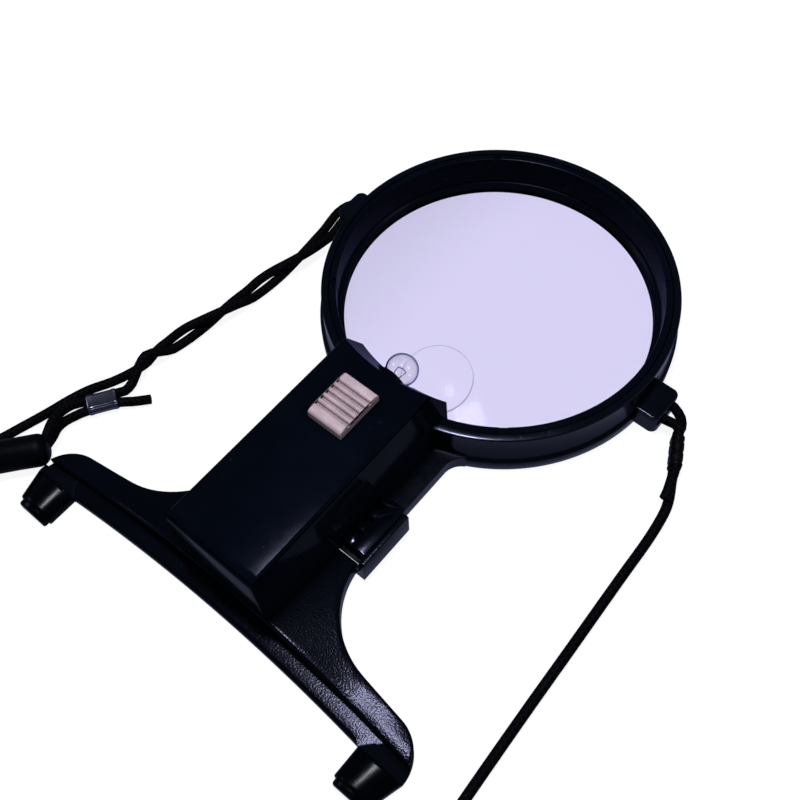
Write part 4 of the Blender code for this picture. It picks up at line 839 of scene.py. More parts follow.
PAIR = [
    (-81.8, -46.6, 2.5, LAY), (-80.6, -37.0, 2.0, LAY), (-76.6, -22.4, 1.5, LAY), (-74.0, -3.4, 1.0, LAY),
    (-70.9, 12.6, 0.5, LAY), (-69.6, 25.0, 0.2, 2.9), (-69.6, 35.0, 0.0, 4.0),
]
PAIR_STEP = 6.4
LEFT_LUG = [
    (-68.2, 42.2, 5.3), (-67.1, 44.95, 5.4), (-64.9, 45.85, 5.4), (-64.0, 48.05, 5.4), (-64.9, 50.25, 5.4),
    (-67.1, 51.15, 5.4), (-70.8, 49.6, 5.4), (-72.6, 44.0, 4.8),
]
FERRULE_TOP = [(-80.2, -52.2, 4.9), (-78.9, -56.6, 2.9), (-78.9, -60.0, 2.3), (-80.1, -61.9, 2.2)]
LEFT_TAIL = [(-77.0, -64.3, 2.2), (-74.0, -61.2, LAY), (-69.8, -56.6, LAY)]
OUTER_LEG = [(-86.6, -71.8, 2.25), (-87.8, -75.9, 4.1), (-87.4, -80.4, 6.0), (-86.0, -84.9, 7.2), (-84.2, -88.0, 7.5)]
INNER_LEG = [(-83.3, -73.9, 2.2), (-85.1, -77.6, 1.9), (-86.2, -81.4, 2.0), (-85.5, -85.0, 3.0), (-83.8, -88.0, 3.7)]
COIL_CENTRE = (68.0, -146.0)
COIL_RADIUS, COIL_LEVEL, COIL_STEP, COIL_SHIFT = 20.45, 2.9, 3.5, 4.1
COIL_ARRIVES, COIL_LEAVES, COIL_POINTS = 9.4, 1182.9, 64
SLEEVE = ((78.25, 42.6), (83.45, 32.6))
FERRULE = ((-79.0, -63.8), (-84.5, -72.1))
SLIDER = ((-79.9, -91.9), (-93.9, -108.8))
IN_SLEEVE = (80.85, 37.6)


def smooth_route(route, step):
    """Points along a smooth curve through a route, at its own points and every step between them."""
    route = [Vector(point) for point in route]
    ends = [2 * route[0] - route[1]] + route + [2 * route[-1] - route[-2]]
    points = [route[0]]
    for before, start, end, after in zip(ends, ends[1:], ends[2:], ends[3:]):
        count = max(1, round((end - start).length / step))
        for k in range(1, count + 1):
            t = k / count
            points.append(0.5 * (2 * start + (end - before) * t
                                 + (2 * before - 5 * start + 4 * end - after) * t ** 2
                                 + (3 * start - before - 3 * end + after) * t ** 3))
    return points


def strands(diameter):
    """The two strands of the twisted pair."""
    apart = (diameter / MM + 0.5) / 2
    first, second = [], []
    pair = smooth_route(PAIR, PAIR_STEP)
    for k, (x, y, turns, low) in enumerate(pair):
        way = (pair[min(k + 1, len(pair) - 1)] - pair[max(k - 1, 0)]).xy.normalized()
        side = Vector((way.y, -way.x)) * apart * math.cos(math.pi * turns)
        lift = apart * math.sin(math.pi * turns)
        first.append((x + side.x, y + side.y, low + abs(lift) + lift))
        second.append((x - side.x, y - side.y, low + abs(lift) - lift))
    return first, second


def coil_turns():
    """The spare cord, wound clockwise: an outer and an inner turn below, then the same above."""
    points = []
    angle = 0.0
    while angle <= COIL_LEAVES + 0.01:
        arriving = 1 - ease(angle / 60)
        inwards = ease((angle - 320) / 80) * math.pi / 2
        upwards = ease((angle - 680) / 80) * math.pi / 2
        radius = (COIL_RADIUS + COIL_SHIFT * arriving + COIL_STEP * (math.cos(inwards) - 1)
                  + COIL_STEP * ease((angle - 980) / 60) + COIL_SHIFT * ease((angle - 1120) / 50))
        height = COIL_LEVEL + 1.7 * arriving + COIL_STEP * math.sin(upwards) - 1.8 * ease((angle - 1138) / 44)
        turn = math.radians(COIL_ARRIVES - angle)
        points.append((COIL_CENTRE[0] + radius * math.cos(turn), COIL_CENTRE[1] + radius * math.sin(turn), height))
        angle += COIL_LEAVES / COIL_POINTS
    return points


def through(route, diameter, step=2.2):
    """Points in metres along a smooth curve through a route, a step apart and never in the table."""
    points = [point * MM for point in smooth_route(route, step)]
    for point in points:
        point.z = max(point.z, diameter / 2 + 0.05 * MM)
    return points


def length_of(points):
    return sum((b - a).length for a, b in zip(points, points[1:]))


def cord_tube(name, points, diameter, fineness=4):
    """A round cord through points, made a mesh, with a map of its own round and along it."""
    data = bpy.data.curves.new(name, "CURVE")
    data.dimensions = "3D"
    data.bevel_depth = diameter / 2
    data.bevel_resolution = fineness
    data.use_fill_caps = True
    spline = data.splines.new("POLY")
    spline.points.add(len(points) - 1)
    for point, place in zip(spline.points, points):
        point.co = (*place, 1.0)
    piece = bpy.data.objects.new(name, data)
    bpy.context.scene.collection.objects.link(piece)
    select(piece)
    bpy.ops.object.convert(target="MESH")
    piece = bpy.context.object
    mesh = piece.data
    around = 4 + 2 * fineness
    run = [0.0]
    for a, b in zip(points, points[1:]):
        run.append(run[-1] + (b - a).length)
    rings = [run[-1], 0.0] + run
    if len(mesh.vertices) != around * len(rings):
        raise RuntimeError(f"{name}: its rings aren't in order")
    layer = mesh.uv_layers[0]
    layer.name = "wrap"
    for face in mesh.polygons:
        places = [mesh.loops[index].vertex_index for index in face.loop_indices]
        share = [(vertex % around) / around for vertex in places]
        if max(share) - min(share) > 0.5 and len(places) == 4:
            share = [1.0 if value < 0.01 else value for value in share]
        for index, vertex, turn in zip(face.loop_indices, places, share):
            layer.data[index].uv = (turn, rings[vertex // around])
    edit(piece)
    bpy.ops.mesh.remove_doubles(threshold=0.000001)
    leave()
    smooth(piece, 50.0)
    return piece


class MAGNIFIER_OT_cords(bpy.types.Operator):
    """Make the neck cord: its right end, its left pair and the pieces that hold it"""
    bl_idname = "magnifier.cords"
    bl_label = "Cords"

    def execute(self, context):
        diameter = context.scene.magnifier_cord.diameter
        sleeve, ferrule, slider = self.sleeve(), self.ferrule(), self.slider()
        first, second = strands(diameter)
        for name, route, far_end, nodes, pieces, lay in (
            ("neck_cord", (RIGHT_TAIL[::-1] + [(*IN_SLEEVE, 5.7)] + RIGHT_LOOP + [(*IN_SLEEVE, 1.95)] + RIGHT_RUN
                           + coil_turns() + NECK_RUN)[::-1], "bare",
             ("cord_right_tail", "cord_right_loop", "cord_right_run", "cord_coil", "cord_neck_run"),
             [sleeve, slider, frame["nodes"]["cord_tie"]], "coiled"),
            ("left_cord", SLIDER_TURN + second + LEFT_LUG[::-1] + first[::-1] + FERRULE_TOP + [(-83.3, -66.8, 2.2)]
             + OUTER_LEG + [(-82.6, -91.4, 6.8)], "object", ("cord_left_run", "cord_leg_outer"), [ferrule], "loose"),
            ("left_tail", [(-82.4, -91.4, 4.4)] + INNER_LEG[::-1] + [(-80.15, -69.1, 2.2)] + LEFT_TAIL, "bare",
             ("cord_left_tail", "cord_leg_inner"), [], "loose"),
        ):
            points = through(route, diameter)
            piece = cord_tube(name, points, diameter)
            finish_piece(piece, "frame", "braid", nodes)
            length_of(points)
        paint(frame["nodes"]["cord_tie"], "sleeve")
        return {"FINISHED"}

    def sleeve(self):
        """The crimped sleeve: a flattened tube standing on edge and pinched at three places."""
        section = [(-y, x) for x, y in self.lobes(3.8, 2.2, 0.97)]
        reach = math.dist(*SLEEVE)
        stations = [(0.0, 0.86, 0.94), (0.35, 0.97, 0.99)]
        for pinch in (0.18, 0.52, 0.86):
            middle = reach * pinch
            stations += [(middle - 0.8, 1.0, 1.0), (middle, 0.88, 0.97), (middle + 0.8, 1.0, 1.0)]
        stations += [(reach - 0.3, 0.97, 0.99), (reach, 0.86, 0.94)]
        piece = loft("sleeve", section, stations, self.lie(SLEEVE, 3.85))
        return finish_piece(piece, "frame", "sleeve", ["crimp_sleeve"], 40.0)

    def ferrule(self):
        """The bright ferrule: pressed metal with rolled ends and faint lengthwise flutes."""
        reach = math.dist(*FERRULE)
        stations = [(0.0, 0.96, 0.95), (0.3, 1.0, 1.0), (1.0, 1.0, 1.0), (1.5, 0.975, 0.96), (2.2, 0.97, 0.95),
                    (reach / 2, 0.965, 0.94), (reach - 2.2, 0.97, 0.95), (reach - 1.5, 0.975, 0.96),
                    (reach - 1.0, 1.0, 1.0), (reach - 0.3, 1.0, 1.0), (reach, 0.96, 0.95)]
        piece = loft("ferrule_metal", self.lobes(3.95, 2.2, 0.86, 0.05), stations, self.lie(FERRULE, 2.2))
        return finish_piece(piece, "frame", "steel", ["ferrule"], 40.0)

    def slider(self):
        """The slider: a fat round body with rounded ends."""
        run, radius, corner = math.dist(*SLIDER), 5.6, 4.0
        turns = [math.pi / 2 * k / 8 for k in range(9)]
        end = [(radius - corner * (1 - math.sin(turn)), corner * (1 - math.cos(turn))) for turn in turns]
        profile = end + [(radius * 0.985, run / 2)] + [(x, run - z) for x, z in end[::-1]]
        piece = put(ring_of("slider", profile, 64), self.lie(SLIDER, radius + 0.05))
        return finish_piece(piece, "frame", "slide", ["cord_slider"], 40.0)

    def lobes(self, wide, deep, waist, flute=0.0):
        """A flattened round section, drawn in a little at its middle and fluted."""
        points = []
        for k in range(96):
            turn = math.tau * k / 96
            side = 1 if math.cos(turn) > 0 else -1
            ripple = 1 - flute * (1 + math.cos(turn * 12)) / 2
            x = side * (wide - deep) + deep * ripple * math.cos(turn)
            y = deep * ripple * math.sin(turn)
            points.append((x, y * (waist + (1 - waist) * min(1.0, abs(x) / (wide - deep)) ** 2)))
        return points

    def lie(self, ends, lift):
        """A place whose Z runs level from one point to another."""
        start, end = (Vector((*point, lift)) for point in ends)
        way = (end - start).normalized()
        turn = Matrix((way.cross(Vector((0, 0, -1))), Vector((0, 0, 1)), way)).transposed()
        return at(*start) @ turn.to_4x4()


# ---------------------------------------------------------------- ring, arm and lens

class MAGNIFIER_OT_ring(bpy.types.Operator):
    """Make the lens ring with its lugs, its arm and the notched rails"""
    bl_idname = "magnifier.ring"
    bl_label = "Ring and arm"

    def execute(self, context):
        sizes = Sizes(context.scene.magnifier_ring)
        r, h, foot, fh = sizes.radius, sizes.height, sizes.foot_radius, sizes.foot_height
        ring = ring_of("ring", [
            (sizes.bore, h), (r - 0.7, h), (r - 0.25, h - 0.15), (r, h - 0.55), (r, fh + 0.9), (r + 0.25, fh + 0.45),
            (foot - 0.5, fh - 0.1), (foot - 0.1, fh - 0.4), (foot, fh - 0.8), (foot, 0.6), (foot - 0.2, 0.2),
            (foot - 0.6, 0.0), (sizes.window, 0.0), (sizes.window, sizes.seat), (sizes.bore, sizes.seat),
        ], sizes.steps, (0.0, LENS_Y), closed=True)
        carve(ring, self.arm(sizes), self.knuckle(sizes), *self.rails(sizes), *self.lugs(sizes), operation="UNION")
        carve(ring, *self.slots(sizes))
        carve(ring, *self.posts(), operation="UNION")
        carve(ring, *self.screw_holes())
        finish_piece(ring, "frame", "ring", ["lens_frame"], 32.0)
        self.retainer(sizes)
        return {"FINISHED"}

    def arm(self, sizes):
        """The flat arm, run into the ring by a fillet on each side."""
        half, foot, fillet = sizes.arm_half, sizes.foot_radius, 7.0
        inside = (sizes.bore + sizes.radius) / 2
        fillet_x = half + fillet
        fillet_reach = math.sqrt((foot + fillet) ** 2 - fillet_x ** 2)
        angle = math.atan2(fillet_x, fillet_reach)
        side = [(inside * math.sin(angle * k / 12), out(inside * math.cos(angle * k / 12))) for k in range(13)]
        for k in range(15):
            turn = angle + (math.pi / 2 - angle) * k / 14
            side.append((fillet_x - fillet * math.sin(turn), out(fillet_reach - fillet * math.cos(turn))))
        side.append((half, out(sizes.arm_reach)))
        arm = plate_of("arm", mirrored(side), 0.0, sizes.arm_top)
        top = at_height(sizes.arm_top)
        round_edges(arm, lambda a, b: top(a, b) and min(a.y, b.y) < out(64.0) and max(a.y, b.y) < out(60.5), 0.4, 2)
        return arm

    def knuckle(self, sizes):
        """The round end of the arm, inside the neck of the chest plate."""
        side = []
        for k in range(13):
            z = sizes.arm_top * k / 12
            side.append((out(HINGE_REACH + math.sqrt(10.2 ** 2 - (z - HINGE_HEIGHT) ** 2)), z))
        return side_plate("knuckle", side + [(out(100.0), sizes.arm_top), (out(100.0), 0.0)], -27.15, 27.15)

    def rails(self, sizes):
        """Two rails, each with four teeth towards the light case."""
        outer, inner, tooth, pitch, end = 27.2, 18.6, 3.0, 5.65, sizes.arm_reach
        start = end - 20.0
        corners = [(outer, out(start), 0.6), (outer, out(end), 0.6), (inner + tooth, out(end), 0.4)]
        for k in range(3, -1, -1):
            near, far = out(start + k * pitch), out(start + k * pitch + tooth)
            corners += [(inner + tooth, far, 0.4), (inner, far, 0.4), (inner, near, 0.4)]
            if k:
                corners.append((inner + tooth, near, 0.4))
        made = []
        for side in SIDES:
            rail = plate_of("rail", [(side * x, y) for x, y in rounded(corners, 22)], 0.2, sizes.rail_top)
            round_edges(rail, at_height(sizes.rail_top), 0.3, 2)
            made.append(rail)
        return made

    def lugs(self, sizes):
        """The two lugs that the cord goes through."""
        root, tip = (sizes.bore + sizes.radius) / 2, sizes.radius + sizes.lug_reach
        near, far, top = LENS_Y - sizes.lug_half, LENS_Y + sizes.lug_half, at_height(sizes.lug_top)
        outline = rounded([(root, near, 0), (tip, near, 2.5), (tip, far, 2.5), (root, far, 0)])
        made = []
        for side in SIDES:
            lug = plate_of("lug", [(side * x, y) for x, y in outline], 0.0, sizes.lug_top)
            round_edges(lug, lambda a, b: top(a, b) and max(abs(a.x), abs(b.x)) > root + 1, 0.45, 3)
            made.append(lug)
        return made

    def slots(self, sizes):
        """The room for the cord in each lug: open at the tip, and on the left at the corners too."""
        tip, room = sizes.radius + sizes.lug_reach, (3.4, 7.4)
        near, far = LENS_Y - sizes.lug_half, LENS_Y + sizes.lug_half
        made = [box_of("slot", (side * (sizes.radius + 0.3), side * (tip + 1)), (near + 1.2, far - 1.2), room)
                for side in SIDES]
        made.append(box_of("mouth", (-tip - 1, -tip + 4.4), (LENS_Y - 14, LENS_Y + 14), room))
        made += [box_of("lug_line", (side * (sizes.radius + 0.5), side * (tip + 1)), (near - 1, near + 0.4), (7.0, 7.4))
                 for side in SIDES]
        return made

    def posts(self):
        """The pins that the cord goes round."""
        return [ring_of("post", [(1.1, 3.0), (1.1, 7.8)], 24, (side * 67.1, LENS_Y)) for side in SIDES]

    def screw_holes(self):
        return [ring_of("screw_hole", [(3.05, -1.0), (3.05, 2.6), (1.55, 2.6), (1.55, 6.4)], 32, (0.0, out(reach)))
                for reach in SCREW_REACHES]

    def retainer(self, sizes):
        """The ring that holds the lens down: a lip, a groove and four notches for its key."""
        outer, inner, lip = sizes.bore - 0.3, sizes.retainer_inner, sizes.retainer_lip
        bottom, top = sizes.retainer_bottom, sizes.height
        slope = bottom + 2.2
        piece = ring_of("retainer", [
            (outer - 0.25, top), (outer, top - 0.25), (outer, bottom), (lip, bottom), (lip, bottom + 0.4),
            (inner - 0.12, slope - 0.05), (inner, slope), (inner + 0.55, slope + 0.3), (inner + 0.55, slope + 0.8),
            (inner, slope + 1.1), (inner, top - 0.5), (inner + 0.1, top - 0.18), (inner + 0.4, top),
        ], sizes.steps, (0.0, LENS_Y), closed=True)
        for k in range(4):
            key = box_of("key", (inner - 0.6, inner + 1.6), (-sizes.notch / 2, sizes.notch / 2), (top - 0.6, top + 1.0))
            carve(piece, put(key, at(0.0, LENS_Y, 0.0, math.radians(38.4) + k * math.pi / 2)))
        finish_piece(piece, "frame", "retainer", ["retaining_ring"], 32.0)


class MAGNIFIER_OT_lens(bpy.types.Operator):
    """Make the lens and its strong segment"""
    bl_idname = "magnifier.lens"
    bl_label = "Lens"

    def execute(self, context):
        sizes = Sizes(context.scene.magnifier_lens)
        low, edge, dome = LENS_BOTTOM, LENS_BOTTOM + sizes.edge, sizes.dome
        ball = (dome ** 2 + sizes.rise ** 2) / (2 * sizes.rise)

        def height(radius):
            return edge + sizes.rise - ball + math.sqrt(ball ** 2 - radius ** 2)

        radii = [dome * (1 - k / 44) for k in range(1, 44)]
        lens = ring_of("lens", [
            (0.3, low), (sizes.radius - 0.2, low), (sizes.radius, low + 0.2), (sizes.radius, edge), (dome, edge),
            *((radius, height(radius)) for radius in radii), (0.3, height(0.0))], 192, (0.0, LENS_Y))
        shares = [1 - k / 20 for k in range(20)]
        crown = [(sizes.segment * share, 0.35 + sizes.segment_rise * (1 - share ** 2)) for share in shares]
        part = ring_of("segment", [
            (0.3, -1.5), (sizes.segment, -1.5), *crown, (0.3, 0.35 + sizes.segment_rise)], 96)
        reach = sizes.segment_reach
        drop = height(reach) - sizes.segment ** 2 / (2 * ball)
        place = at(math.sin(SEGMENT_TURN) * reach, LENS_Y - math.cos(SEGMENT_TURN) * reach, drop, SEGMENT_TURN)
        put(part, place @ Matrix.Rotation(math.asin(reach / ball), 4, "X"))
        carve(lens, part, operation="UNION")
        finish_piece(lens, "frame", "lens", ["main_lens"], 20.0)
        return {"FINISHED"}


# ---------------------------------------------------------------- light case, lamp and switch

class MAGNIFIER_OT_light(bpy.types.Operator):
    """Make the light case, its cover, the lamp's glass and the switch knob"""
    bl_idname = "magnifier.light"
    bl_label = "Light"

    def execute(self, context):
        sizes = Sizes(context.scene.magnifier_light)
        top, joint = sizes.top, sizes.top - sizes.lid
        across, along = (-50, 50), (out(200), out(0))
        body = self.blank("case", sizes)
        carve(body, box_of("lid_space", across, along, (joint - 0.3, top + 10)))
        carve(body, self.chamber(sizes), self.lamp_bore())
        carve(body, *self.ribs(), operation="UNION")
        carve(body, *self.screw_holes())
        finish_piece(body, "frame", "case", ["light_body"], 28.0)
        lid = self.blank("lid", sizes)
        carve(lid, box_of("lid_split", across, along, (-10, joint)))
        carve(lid, box_of("knob_slot", (-3.3, 3.3), (out(82.65), out(71.05)), (top - 10, top + 10)))
        carve(lid, *self.lid_groove(sizes, joint))
        finish_piece(lid, "cover", "case", ["light_cover"], 28.0)
        self.glass()
        self.knob(sizes)
        return {"FINISHED"}

    def lid_groove(self, sizes, joint):
        """A shadow groove round the lower part of the cover."""
        span = (joint - 1, joint + 0.8)
        half = self.half(sizes, joint + 0.8) - 0.45
        made = [box_of("side_groove", (side * half, side * (half + 4)), (out(150), out(0)), span) for side in SIDES]
        return made + [box_of("end_groove", (-30, 30), (out(150), out(137.1)), span)]

    def half(self, sizes, height):
        """Half the width of the case at a height."""
        return sizes.top_half + (sizes.top - height) * sizes.draft

    def drafted(self, name, side, sizes, inset=0.0):
        """A side view drawn out a metre both ways, then narrowed to the case's width less an inset."""
        made = side_plate(name, side, -1000.0, 1000.0)
        for vertex in made.data.vertices:
            vertex.co.x *= (self.half(sizes, vertex.co.z / MM) - inset) * MM
        return made

    def blank(self, name, sizes):
        """The whole case as one drafted solid with its outer edges rounded."""
        top, end, round_end = sizes.top, out(CASE_END), sizes.end_round
        blank = self.drafted(name, rounded([
            (end, 10.1, 0), (end, top, round_end), (out(50.0), top, 0), (out(50.0), CASE_LOW, 0),
            (out(NECK_REACH), CASE_LOW, 0)], 9), sizes)
        tidy(blank)

        def outer_edge(a, b):
            outside = a.x * b.x > 0 and abs(abs(a.x) - self.half(sizes, a.z)) < 0.05
            lowest = min(a.z, b.z)
            at_end = max(a.y, b.y) < end + round_end + 0.05 and a.z != b.z
            return outside and (lowest > top - 0.01 or at_end) and lowest >= CASE_LOW + 0.1

        round_edges(blank, outer_edge, 0.75, 4)
        hood = sizes.hood + (sizes.hood - 54.5) / (top - 23.6) * 5
        centre = (0.0, LENS_Y)
        front = ring_of("hood_front", [(54.5, -1.0), (54.5, 23.6), (hood, top + 5)], 256, centre)
        rim = ring_of("rim_room", [(62.3, -1.0), (62.3, 17.9), (56.45, 17.9), (56.45, -1.0)], 256, centre, closed=True)
        carve(blank, front, rim)
        return blank

    def chamber(self, sizes):
        """The room inside for the cells and the switch."""
        back, front, top = out(136.0), out(66.0), 50.0
        return self.drafted("chamber", [(back, 11.5), (back, top), (front, top), (front, 7.4), (out(NECK_REACH), 7.4)],
                            sizes, sizes.wall)

    def lamp_bore(self):
        """The round bore in the hood that the lamp holder sits in."""
        bore = ring_of("lamp_bore", [(6.5, 0.0), (6.5, 18.0)], 64)
        return put(bore, at(0.0, out(66.6), LAMP_HEIGHT, -math.pi / 2, "X"))

    def ribs(self):
        """Cradles under the cells, ledges under the switch board and bosses for the screws."""
        made = []
        for reach in (90.0, 108.0, 124.0):
            low = 6.6 + max(0.0, (reach - NECK_REACH) * 0.135)
            made.append(box_of("cradle", (-16.5, 16.5), (out(reach + 1.6), out(reach)), (low, 11.2)))
        made += [box_of("ledge", (side * 15.0, side * 16.6), (out(91.4), out(65.5)), (26.3, 27.9)) for side in SIDES]
        made += [ring_of("boss", [(2.9, 6.5), (2.9, 11.9)], 32, (0.0, out(reach))) for reach in SCREW_REACHES]
        return made

    def screw_holes(self):
        return [ring_of("screw_bore", [(1.55, 4.0), (1.55, 11.3)], 32, (0.0, out(reach))) for reach in SCREW_REACHES]

    def glass(self):
        """The lamp's globe: a thin blown wall with its neck inside the cap."""
        radius, wall, neck = 5.5, 0.5, 3.6
        walls = []
        for inset in (0.0, wall):
            size = radius - inset
            last = math.pi - math.asin((neck - inset) / size)
            turns = [max(0.04, last * k / 24) for k in range(25)]
            walls.append([(size * math.sin(turn), radius + size * math.cos(turn)) for turn in turns])
        profile = walls[0] + [(neck, -3.0), (neck - wall, -3.0)] + walls[1][::-1]
        piece = put(ring_of("globe", profile, 64), at(0.0, out(58.0), LAMP_HEIGHT, -math.pi / 2, "X"))
        finish_piece(piece, "lamp", "glass", ["bulb_glass"], 50.0)

    def knob(self, sizes):
        """The switch knob: ribs with rounded crests, wider at both ends."""
        low, high, reach, deep = KNOB_BOTTOM, KNOB_TOP, 17.5, 1.4
        base, groove, end, count = 38.1, 1.0, 3.5, sizes.ribs
        middle = (reach - 2 * end - (count - 1) * groove) / (count - 2)
        corners = [(0.0, base, 0), (reach, base, 0)]
        place = reach
        for k, width in enumerate([end] + [middle] * (count - 2) + [end]):
            last = k == count - 1
            corners += [(place, high, 0.7 if k else 1.3), (place - width, high, 1.3 if last else 0.7)]
            place -= width
            if not last:
                corners += [(place, high - deep, 0.3), (place - groove, high - deep, 0.3)]
                place -= groove
        start = out(79.35) - reach / 2
        knob = side_plate("knob", [(start + y, z) for y, z in rounded(corners, 18)], -6.5, 6.5)

        def rib_edge(a, b):
            return a.x * b.x > 0 and abs(a.x - b.x) < 0.01 and min(a.z, b.z) > high - deep + 0.4

        round_edges(knob, rib_edge, 0.32, 3)
        span = (out(82.35), out(76.35))
        carve(knob, box_of("stem", (-3.0, 3.0), span, (low, base + 0.5)),
              box_of("flange", (-4.5, 4.5), span, (33.7, 35.5)), operation="UNION")
        carve(knob, box_of("pocket", (-1.8, 1.8), (out(81.15), out(77.55)), (low - 1, low + 1.8)))
        finish_piece(knob, "knob", "knob", ["switch_knob"], 35.0)


# ---------------------------------------------------------------- chest plate and feet

class MAGNIFIER_OT_plate(bpy.types.Operator):
    """Make the chest plate with its ears, and its two rubber feet"""
    bl_idname = "magnifier.plate"
    bl_label = "Chest plate"

    def execute(self, context):
        sizes = Sizes(context.scene.magnifier_plate)
        plate = self.upper(sizes)
        carve(plate, self.flange(sizes), *self.ears(), operation="UNION")
        carve(plate, *self.pin_holes())
        finish_piece(plate, "plate", "plate", ["chest_plate"], 28.0)
        for name, side in (("left", -1), ("right", 1)):
            self.foot(name, side)
        return {"FINISHED"}

    def bow(self, sizes, x, reach):
        """The reach of a hollow edge at X, from its reach at the middle."""
        return reach + sizes.hollow - math.sqrt(sizes.hollow ** 2 - x ** 2)

    def outline(self, sizes, front, legs):
        """The plate's outline, from the neck round by the wing to a hollow front, with or without legs."""
        inner, wing, lean, tip, neck = 25.7, 78.4, 0.146, 135.05, sizes.neck
        side = rounded([
            (-inner, neck - 5, 0), (inner, neck - 5, 0), (inner, tip - lean * (wing - inner), 28.0),
            (wing, tip, 13.0), (78.0, LEG_END, 0), (LEG_INNER, LEG_END, 0)], 4)[1:]
        side = [(x, max(reach, neck)) for x, reach in side]
        limit = LEG_INNER
        if not legs:
            side = [(x, reach) for x, reach in side[:-1] if reach < self.bow(sizes, x, front) - 0.05]
            limit = side[-1][0]
        for k in range(29):
            x = limit * (1 - k / 28)
            side.append((x, self.bow(sizes, x, front)))
        clean = [side[0]]
        for point in side[1:]:
            if math.dist(point, clean[-1]) > 0.05:
                clean.append(point)
        return mirrored([(x, out(reach)) for x, reach in clean])

    def upper(self, sizes):
        """The thick part of the plate behind the step, raised under the end of the light case."""
        top = sizes.wing_top
        plate = plate_of("plate", self.outline(sizes, sizes.step, False), 0.0, top)
        round_edges(plate, at_height(top), 0.9, 4)
        edit(plate)
        for k in range(-19, 20):
            slice_at((k * 3.2, 0, 0), (1, 0, 0))
        for k in range(12):
            slice_at((0, out(107.0 + k * 2.7), 0), (0, 1, 0))
        leave()
        for vertex in plate.data.vertices:
            x, y, z = (value / MM for value in vertex.co)
            if z > 3.5:
                vertex.co.z += self.raised(sizes, x, LENS_Y - y) * MM
        return plate

    def raised(self, sizes, x, reach):
        """How far the plate's top rises above the wings."""
        share = (reach - sizes.neck) / (CASE_END - sizes.neck)
        under = 5.4 + share * (sizes.fairing - 5.4)
        return (under - sizes.wing_top) * (1 - ease((abs(x) - 18.5) / 38.0))

    def flange(self, sizes):
        """The thin flange in front, with a rounded front edge."""
        flange = plate_of("flange", self.outline(sizes, sizes.front, True), 0.0, sizes.flange)
        carve(flange, box_of("flange_back", (-100, 100), (out(130), out(90)), (-1, 10)))
        across = [4.1 * k - 82 for k in range(41)]
        groove = [(x, out(self.bow(sizes, x, sizes.step) + 1.9)) for x in across]
        groove += [(x, out(self.bow(sizes, x, sizes.step) - 2.0)) for x in across[::-1]]
        carve(flange, plate_of("step_groove", groove, 1.3, 10))

        def front_edge(a, b):
            x, y, _ = (a + b) / 2
            close = abs(LENS_Y - y - self.bow(sizes, x, sizes.front)) < 0.4
            return at_height(sizes.flange)(a, b) and close and abs(x) < LEG_INNER - 0.1

        round_edges(flange, front_edge, 1.4, 5)
        edit(flange)
        for side in SIDES:
            slice_at((side * LEG_INNER, 0, 0), (1, 0, 0))
        leave()
        return flange

    def ears(self):
        """The two ears that hold the hinge pins, each with a web into the plate."""
        back, front, top = out(107.1), out(85.0), 10.6
        view = rounded([(back, 0.0, 0), (front, 0.0, 1.0), (front, top, 1.2), (back, top, 1.2)])
        made = []
        for side in SIDES:
            ear = side_plate("ear", view, 27.5, 29.5)
            if side < 0:
                for vertex in ear.data.vertices:
                    vertex.co.x = -vertex.co.x
                tidy(ear)
            round_edges(ear, lambda a, b: abs(a.x - b.x) < 0.01 and min(a.z, b.z) > 0.5, 0.3, 2)
            made += [ear, box_of("web", (side * 23.7, side * 28.5), (back, out(105.53)), (0.02, 4.5))]
        return made

    def pin_holes(self):
        return [put(ring_of("pin_hole", [(1.8, 0.0), (1.8, 2.1)], 32),
                    at(side * 27.2, out(HINGE_REACH), HINGE_HEIGHT, side * math.pi / 2, "Y")) for side in SIDES]

    def boot_section(self):
        """Arched across, with its lower edges rounded."""
        half, low, top = 8.25, 2.4, 6.4
        section = [(half - 0.5, 0.0), (half - 0.12, 0.15), (half, 0.55)]
        for k in range(29):
            turn = math.pi * k / 28
            section.append((half * math.cos(turn), low + (top - low) * math.sin(turn)))
        return section + [(-half, 0.55), (-half + 0.12, 0.15), (-half + 0.5, 0.0)]

    def foot(self, name, side):
        """A rubber boot: arched across, narrowing to its end, with a smaller pad at the tip."""
        run = 10.3
        stations = [(0.0, 0.97, 0.97), (0.25, 1.0, 1.0)]
        stations += [(run * k / 9, 1 - 0.1818 * k / 9, 1.0) for k in range(1, 9)]
        stations += [(run - 0.55, 0.828, 0.995), (run - 0.2, 0.815, 0.975), (run, 0.79, 0.94),
                     (run + 0.02, 0.72, 0.86), (run + 1.3, 0.71, 0.85), (run + 1.7, 0.69, 0.82),
                     (run + 1.9, 0.65, 0.77)]
        level = Matrix(((side, 0, 0, 0), (0, 0, -1, 0), (0, 1, 0, 0), (0, 0, 0, 1)))
        place = at(side * 69.75, out(146.98), 0) @ level
        boot = loft(f"foot_grip_{name}", self.boot_section(), stations, place)
        for vertex in boot.data.vertices:
            reach = LENS_Y - vertex.co.y / MM - BOOT_START
            vertex.co.x -= side * 1.5 * MM * min(1.0, reach / run)
        tidy(boot)
        finish_piece(boot, "plate", "rubber", [f"foot_{name}"], 40.0)


# ---------------------------------------------------------------- pieces kept from the solids

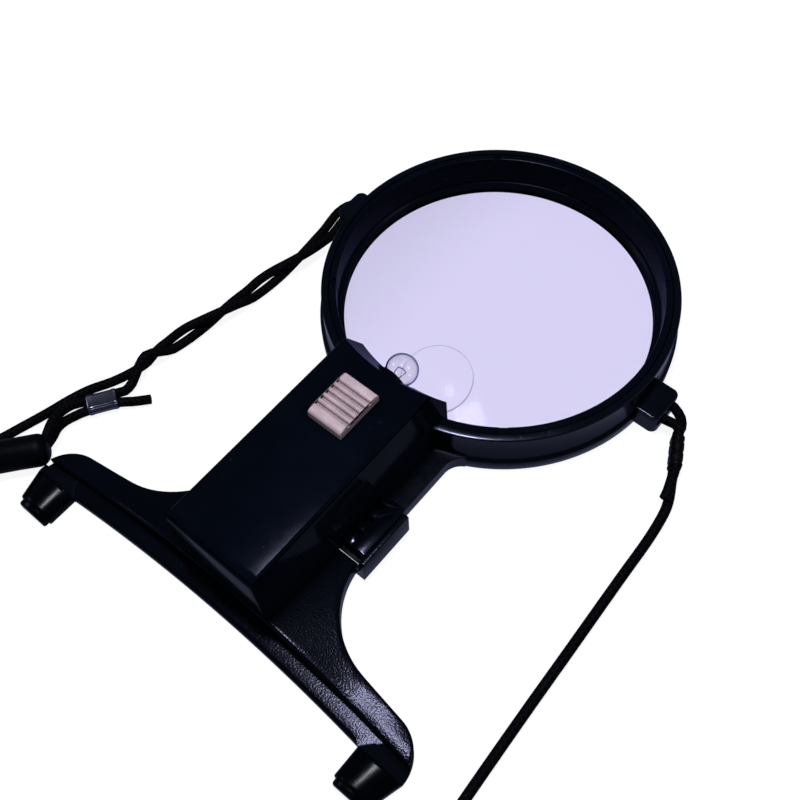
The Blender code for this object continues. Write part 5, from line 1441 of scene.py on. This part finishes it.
class MAGNIFIER_OT_inside(bpy.types.Operator):
    """Give the cells, the strips, the board, the screws and the pins their own finishes"""
    bl_idname = "magnifier.inside"
    bl_label = "Pieces inside"

    def execute(self, context):
        for material, nodes in (
            ("jacket", ("cell_left", "cell_right")),
            ("brass", ("bulb_contact", "plate_front", "bridge_back", "return_strip", "bulb_base", "switch_contact")),
            ("steel", ("spring_front", "spring_back", "filament", "hinge_pin_left", "hinge_pin_right",
                       "arm_screw_front", "arm_screw_back")),
            ("board", ("switch_board",)),
            ("case", ("bulb_socket",)),
        ):
            for node in nodes:
                paint(frame["nodes"][node], material)
        return {"FINISHED"}


class MAGNIFIER_PT_panel(bpy.types.Panel):
    """All the steps, in order"""
    bl_label = "Magnifier"
    bl_idname = "MAGNIFIER_PT_panel"
    bl_space_type = "VIEW_3D"
    bl_region_type = "UI"
    bl_category = "Magnifier"

    def draw(self, context):
        layout = self.layout
        for step in STEPS:
            layout.operator(step.bl_idname)
        for name in GROUPS:
            box = layout.box()
            for prop in GROUPS[name].__annotations__:
                box.prop(getattr(context.scene, name), prop)


STEPS = (MAGNIFIER_OT_stage, MAGNIFIER_OT_cords, MAGNIFIER_OT_ring, MAGNIFIER_OT_lens, MAGNIFIER_OT_light,
         MAGNIFIER_OT_plate, MAGNIFIER_OT_inside)


def register():
    for group in GROUPS.values():
        bpy.utils.register_class(group)
    for name, group in GROUPS.items():
        setattr(bpy.types.Scene, name, PointerProperty(type=group))
    for step in STEPS + (MAGNIFIER_PT_panel,):
        bpy.utils.register_class(step)


def unregister():
    for step in reversed(STEPS + (MAGNIFIER_PT_panel,)):
        bpy.utils.unregister_class(step)
    for name, group in GROUPS.items():
        delattr(bpy.types.Scene, name)
        bpy.utils.unregister_class(group)


def main():
    register()
    make_finishes(bpy.context.scene.magnifier_colours, bpy.context.scene.magnifier_cord.strands)
    bpy.ops.magnifier.stage()
    bpy.ops.magnifier.cords()
    bpy.ops.magnifier.ring()
    bpy.ops.magnifier.lens()
    bpy.ops.magnifier.light()
    bpy.ops.magnifier.plate()
    bpy.ops.magnifier.inside()


if __name__ == "__main__":
    main()
